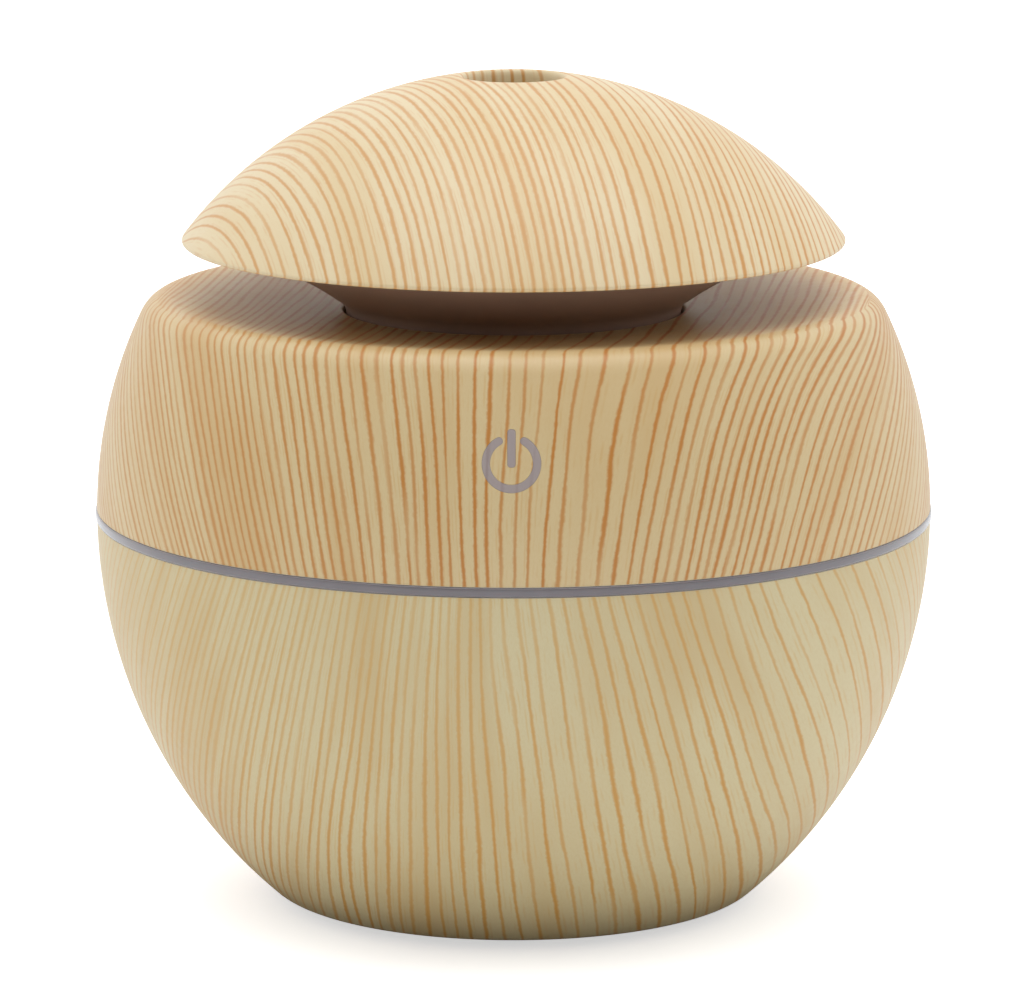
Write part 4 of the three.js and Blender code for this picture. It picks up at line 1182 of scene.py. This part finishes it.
# ---- Screws and feet ----
def screw(node, points_up=False):
    """A pan-head screw with a crowned head and a cross recess, where the CAD screw is."""
    centre = middle(node)
    bottom, top = span(node)
    head = half_size(node).x
    shank = head / 1.9
    root = shank * 0.86
    head_t = shank * 1.2
    length = top - bottom
    thread = 0.42  # pitch
    first = -length + shank
    turns = int((length - head_t - shank) / thread)
    ridges = []
    for i in range(turns):
        ridges += [(root, first + (i + 0.2) * thread), (shank, first + (i + 0.6) * thread)]
    outline = [
        (0, -length), (shank * 0.5, -length + shank * 0.3), (root, first), *ridges,
        (root, -head_t), (head * 0.96, -head_t),
        *bend((head, -head_t + 0.1), (head, 0), (head * 0.55, 0), 8),
        (0, 0),
    ]
    part = turned_piece(node, outline, "steel", SMALL_SIDES)
    arm, thin, depth = head * 0.55, head * 0.14, head_t * 0.6
    cross = [rectangle(arm, thin, thin * 0.5), rectangle(thin, arm, thin * 0.5)]
    carve(part, [prism("slot", slot, -depth, 1) for slot in cross])
    if points_up:
        spun(part, math.pi, "X")
    stands_for(moved(part, (centre.x, centre.y, bottom if points_up else top)), node)


def foot(node):
    centre, top, radius = middle(node), high(node).z, half_size(node).x
    outline = [
        (0, 0.12), (radius * 0.45, 0.12), (radius * 0.52, 0),
        *arc(radius - 0.35, 0.35, 0.35, -90, 0, 5),
        *arc(radius - 0.1, top - 0.1, 0.1, 0, 90, 3),
        (0, top),
    ]
    part = turned_piece(node, outline, "rubber", SMALL_SIDES)
    stands_for(moved(part, (centre.x, centre.y, 0)), node)


# ---- Base plate and fan ----
def base_plate():
    radius, bottom, top = high("base_plate").x, BASE_Z, BASE_Z + 2.05
    seat_top = high("base_plate").z
    outline = [(0, bottom), *arc(radius - 0.35, bottom + 0.35, 0.35, -90, 0, 5), (radius, top), (0, top)]
    plate = turned_aside(turned_piece("base_plate", outline, "white_plastic", 192))
    seat_half = 12.3  # of the square that carries the fan
    carve(plate, [prism("seat", rectangle(seat_half, seat_half, 1.5), top - 0.5, seat_top)], "UNION")
    pitch, half_width, reach = 3.1, 0.8, 10.6  # of the air slots, which fill a circle
    cuts = []
    for i in range(-3, 4):
        half = math.sqrt(reach**2 - (pitch * i) ** 2)
        slot = rectangle(half, half_width, half_width * 0.98, 0, pitch * i)
        cuts.append(prism("slot", slot, 0, seat_top + 1))
    foot_r, shank_r, head_r, fan_shank_r = 4.25, 1.5, 2.45, 0.95
    cuts += posts(FEET, foot_r, 0, BASE_Z + 0.6, SMALL_SIDES)
    cuts += posts(BASE_SCREWS, shank_r, 0, seat_top + 1)
    cuts += posts(BASE_SCREWS, head_r, 0, bottom + 1.2)
    cuts += posts(FAN_SCREWS, fan_shank_r, bottom + 0.8, seat_top + 1)
    carve(plate, cuts)
    stands_for(plate, "base_plate")


def fan_frame():
    """A square frame with a belled bore, and struts that carry the hub and its pin."""
    bottom, top = span("fan_frame")
    half, screw_place = high("fan_frame").x, 10
    bore, mouth, strut_t = 11.6, 12.4, 0.9
    frame_piece = prism("fan_frame_fine", rectangle(half, half, 2.5), bottom, top, finishes("dark_plastic"))
    bell = turned("bell", [(0, [
        (0, bottom - 1), (12.6, bottom - 1),
        *bend((mouth, bottom), (bore, bottom), (bore, bottom + 1.2), 6),
        *bend((bore, top - 1.2), (bore, top), (mouth, top), 6),
        (12.6, top + 1), (0, top + 1),
    ])], (), 96)
    places = [(x, y) for x in (-screw_place, screw_place) for y in (-screw_place, screw_place)]
    holes = [prism("hole", circle(1, x, y, 32), bottom - 1, top + 1) for x, y in places]
    carve(frame_piece, [bell, *holes])
    arms = [prism("strut", rectangle(3.6, 0.7, 0.3, 8.6, 0), top - strut_t, top) for _ in range(4)]
    struts = [spun(arm, math.radians(15 + 90 * i)) for i, arm in enumerate(arms)]
    hub_r, pin_r = 6.2, 0.9
    hub = prism("hub", circle(hub_r, sides=64), top - strut_t, top)
    pin = prism("pin", circle(pin_r, sides=32), bottom + 1.2, top - 0.3)
    carve(frame_piece, [*struts, hub, pin], "UNION")
    stands_for(frame_piece, "fan_frame")


def blade_grid(build, offset, hub_r, tip_r, bottom, top, rows, columns):
    """One side of a blade, offset from its middle surface."""
    grid = []
    for i in range(rows):
        r = hub_r + (tip_r - hub_r) * i / (rows - 1)
        pitch = math.radians(50 - 16 * i / (rows - 1))  # 50 degrees at the hub, 34 at the tip
        chord = (top - bottom - 0.7) / math.sin(pitch)
        row = []
        for j in range(columns):
            share = j / (columns - 1) - 0.5
            thin = offset * (1 - (2 * share) ** 4 * 0.7)
            camber = 0.9 * (0.25 - share**2)
            along, across = share * chord, camber + thin
            side = along * math.cos(pitch) - across * math.sin(pitch)
            rise = along * math.sin(pitch) + across * math.cos(pitch)
            angle = side / r
            place = (r * math.cos(angle) * MM, r * math.sin(angle) * MM, ((bottom + top) / 2 + rise) * MM)
            row.append(build.verts.new(place))
        grid.append(row)
    return grid


def fan_blade(hub_r, tip_r, bottom, top):
    """A curved blade, steeper at the hub than at the tip."""
    rows, columns, half_thick = 7, 9, 0.32
    build = bmesh.new()
    sides = [
        blade_grid(build, offset, hub_r, tip_r, bottom, top, rows, columns)
        for offset in (-half_thick, half_thick)
    ]
    for grid in sides:
        for i in range(rows - 1):
            for j in range(columns - 1):
                build.faces.new((grid[i][j], grid[i][j + 1], grid[i + 1][j + 1], grid[i + 1][j]))
    first, second = sides
    rim = [(0, j) for j in range(columns)] + [(i, columns - 1) for i in range(1, rows)]
    rim += [(rows - 1, j) for j in range(columns - 2, -1, -1)] + [(i, 0) for i in range(rows - 2, 0, -1)]
    for (i, j), (k, m) in zip(rim, rim[1:] + rim[:1]):
        build.faces.new((first[i][j], first[k][m], second[k][m], second[i][j]))
    bmesh.ops.recalc_face_normals(build, faces=build.faces)
    return object_of(build, "blade")


def fan_rotor():
    bottom, top = span("fan_rotor")
    hub_r, tip_r, bore, blades = 5.6, 10.9, 0.98, 7
    outline = rounded([(bore, bottom), (hub_r, bottom), (hub_r, top), (bore, top)], 0.5)
    rotor = turned_piece("fan_rotor", outline, "dark_plastic", 96)
    turns = [2 * math.pi * i / blades for i in range(blades)]
    carve(rotor, [spun(fan_blade(hub_r - 0.4, tip_r, bottom, top), turn) for turn in turns], "UNION")
    stands_for(rotor, "fan_rotor")


# ---- Electronics ----
def main_board():
    """A horseshoe round the fan, open at the front."""
    bottom, top = span("main_board")
    outer_r, inner_r = 33.6, 19
    start, end = math.radians(-25), math.radians(205)
    outer = steps(start, end, 120, lambda a: at_angle(outer_r, a))
    inner = steps(end, start, 120, lambda a: at_angle(inner_r, a))
    board = prism("main_board_fine", outer + inner, bottom, top, finishes("circuit_board"))
    holes = posts(BASE_SCREWS[:3], 1.6, bottom - 1, top + 1)
    carve(board, holes + posts(BOARD_SCREWS, 1.1, bottom - 1, top + 1))
    stands_for(board, "main_board")


def light_board():
    bottom, top = span("light_board")
    outer_r, inner_r = high("light_board").x, TANK_R + 2.4
    outline = rounded([(inner_r, bottom), (outer_r, bottom), (outer_r, top), (inner_r, top)], 0.08, 2)
    board = turned_piece("light_board", outline, "circuit_board")
    carve(board, posts(TANK_SCREWS, 1.6, bottom - 1, top + 1))
    stands_for(board, "light_board")


def power_socket():
    """A steel shell with a plastic tongue."""
    socket = softened("power_socket", finishes("steel", "dark_plastic"), 0.35, 4)
    front, back = high("power_socket").y - 0.6, low("power_socket").y + 1.2
    outline = rectangle(2.5, 0.35, 0.3, 0, middle("power_socket").z)
    carve(socket, [turned_up(prism("tongue", outline, back, front, (), 1))], "UNION")
    stands_for(socket, "power_socket")


def capacitor():
    """A can with a groove near its foot."""
    centre = middle("capacitor")
    bottom, top = span("capacitor")
    radius = half_size("capacitor").x
    can = [
        (0, bottom), *arc(radius - 0.2, bottom + 0.2, 0.2, -90, 0, 4),
        (radius, bottom + 0.7), (radius - 0.2, bottom + 0.95), (radius, bottom + 1.2),
        *arc(radius - 0.35, top - 0.35, 0.35, 0, 90, 5),
        (radius - 0.6, top - 0.1), (0, top - 0.1),
    ]
    part = turned_piece("capacitor", can, "foil", 64)
    stands_for(moved(part, (centre.x, centre.y, 0)), "capacitor")


def small_parts():
    """The rest keep their CAD shapes, with rounded edges or smoothed wires."""
    edges = {"controller_chip": 0.12, "touch_led": 0.2, "touch_board": 0.1, "inductor": 0.4}
    edges.update({led: 0.2 for led in numbered("light_led", 6)})
    for node, width in edges.items():
        stands_for(softened(node, finishes(SLOT_OF[node]), width), node)
    for node in ("piezo_lead", "fan_lead", "light_lead", "touch_lead", "touch_spring"):
        stands_for(softened(node, finishes(SLOT_OF[node]), levels=2), node)


def main():
    for build in (cap_dome, cap_insert, cap_seal, mist_tube, upper_shell, key_light_pipe, light_ring):
        build()
    for build in (lower_shell, tank, air_duct, piezo_disc, small_rings, base_plate, fan_frame, fan_rotor):
        build()
    for build in (main_board, light_board, power_socket, capacitor, small_parts):
        build()
    for node in BASE_SCREWS + CLAMP_SCREWS:
        screw(node, points_up=True)
    for node in TANK_SCREWS + BOARD_SCREWS + FAN_SCREWS:
        screw(node)
    for node in FEET:
        foot(node)


main()


# ---- Floor and light ----
def make_floor():
    """A pale floor; where the camera sees it, it glows, so that the shadow on it is faint.

    Round the base it throws back less light, so that the bowl's lowest edge stays dark.
    """
    half_side = 3.0  # in metres
    build = bmesh.new()
    bmesh.ops.create_grid(build, x_segments=1, y_segments=1, size=half_side)
    shader = Shader("floor", specular_ior_level=0.2, emission_color=(1, 1, 1, 1))
    seen = shader.add("LightPath").outputs["Is Camera Ray"]
    glow_unseen, glow_seen = 0.06, 0.55
    glow = shader.ramp(seen, 0, 1, glow_unseen, glow_seen, smooth=False)
    shader.put(glow, shader.surface.inputs["Emission Strength"])
    place = shader.object_place()
    speck = shader.noise(place, 0.05, 2)
    pale = shader.mix(speck, colour(243, 245, 249), colour(248, 250, 252))
    away = shader.add("VectorMath", {0: place}, operation="LENGTH").outputs["Value"]
    dark_within, pale_beyond = 28, 44  # mm from the axis
    thrown = shader.mix(shader.ramp(away, dark_within, pale_beyond), colour(110, 96, 74), pale)
    body = shader.mix(seen, thrown, pale)
    floor = object_of(build, "floor", [shader.done(body, shader.ramp(speck, 0, 1, 0.75, 0.85))])
    floor.location.z = -0.05 * MM  # just clear of the feet


def make_surround():
    """A white surround, dimmer low down and in front."""
    world = bpy.data.worlds.new("surround")
    bpy.context.scene.world = world
    world.use_nodes = True
    nodes = Nodes(world.node_tree)
    toward = nodes.add("SeparateXYZ", {0: nodes.add("TexCoord").outputs["Generated"]}).outputs
    height = nodes.maths("MULTIPLY_ADD", toward["Y"], 0.9, toward["Z"])
    background = nodes.tree.nodes["Background"]
    nodes.put(nodes.ramp(height, -0.85, 0.75, 0.05, 1.0), background.inputs["Strength"])
    nodes.put((1, 1, 1, 1), background.inputs["Color"])


def make_lamp():
    """A soft light from almost straight above."""
    data = bpy.data.lights.new("overhead_lamp", "SUN")
    data.angle = math.radians(50)
    data.energy = 0.9
    overhead = bpy.data.objects.new("overhead_lamp", data)
    bpy.context.scene.collection.objects.link(overhead)
    overhead.rotation_euler = (math.radians(-2), 0, 0)


make_floor()
make_surround()
make_lamp()
bpy.context.scene.view_settings.view_transform = "Standard"
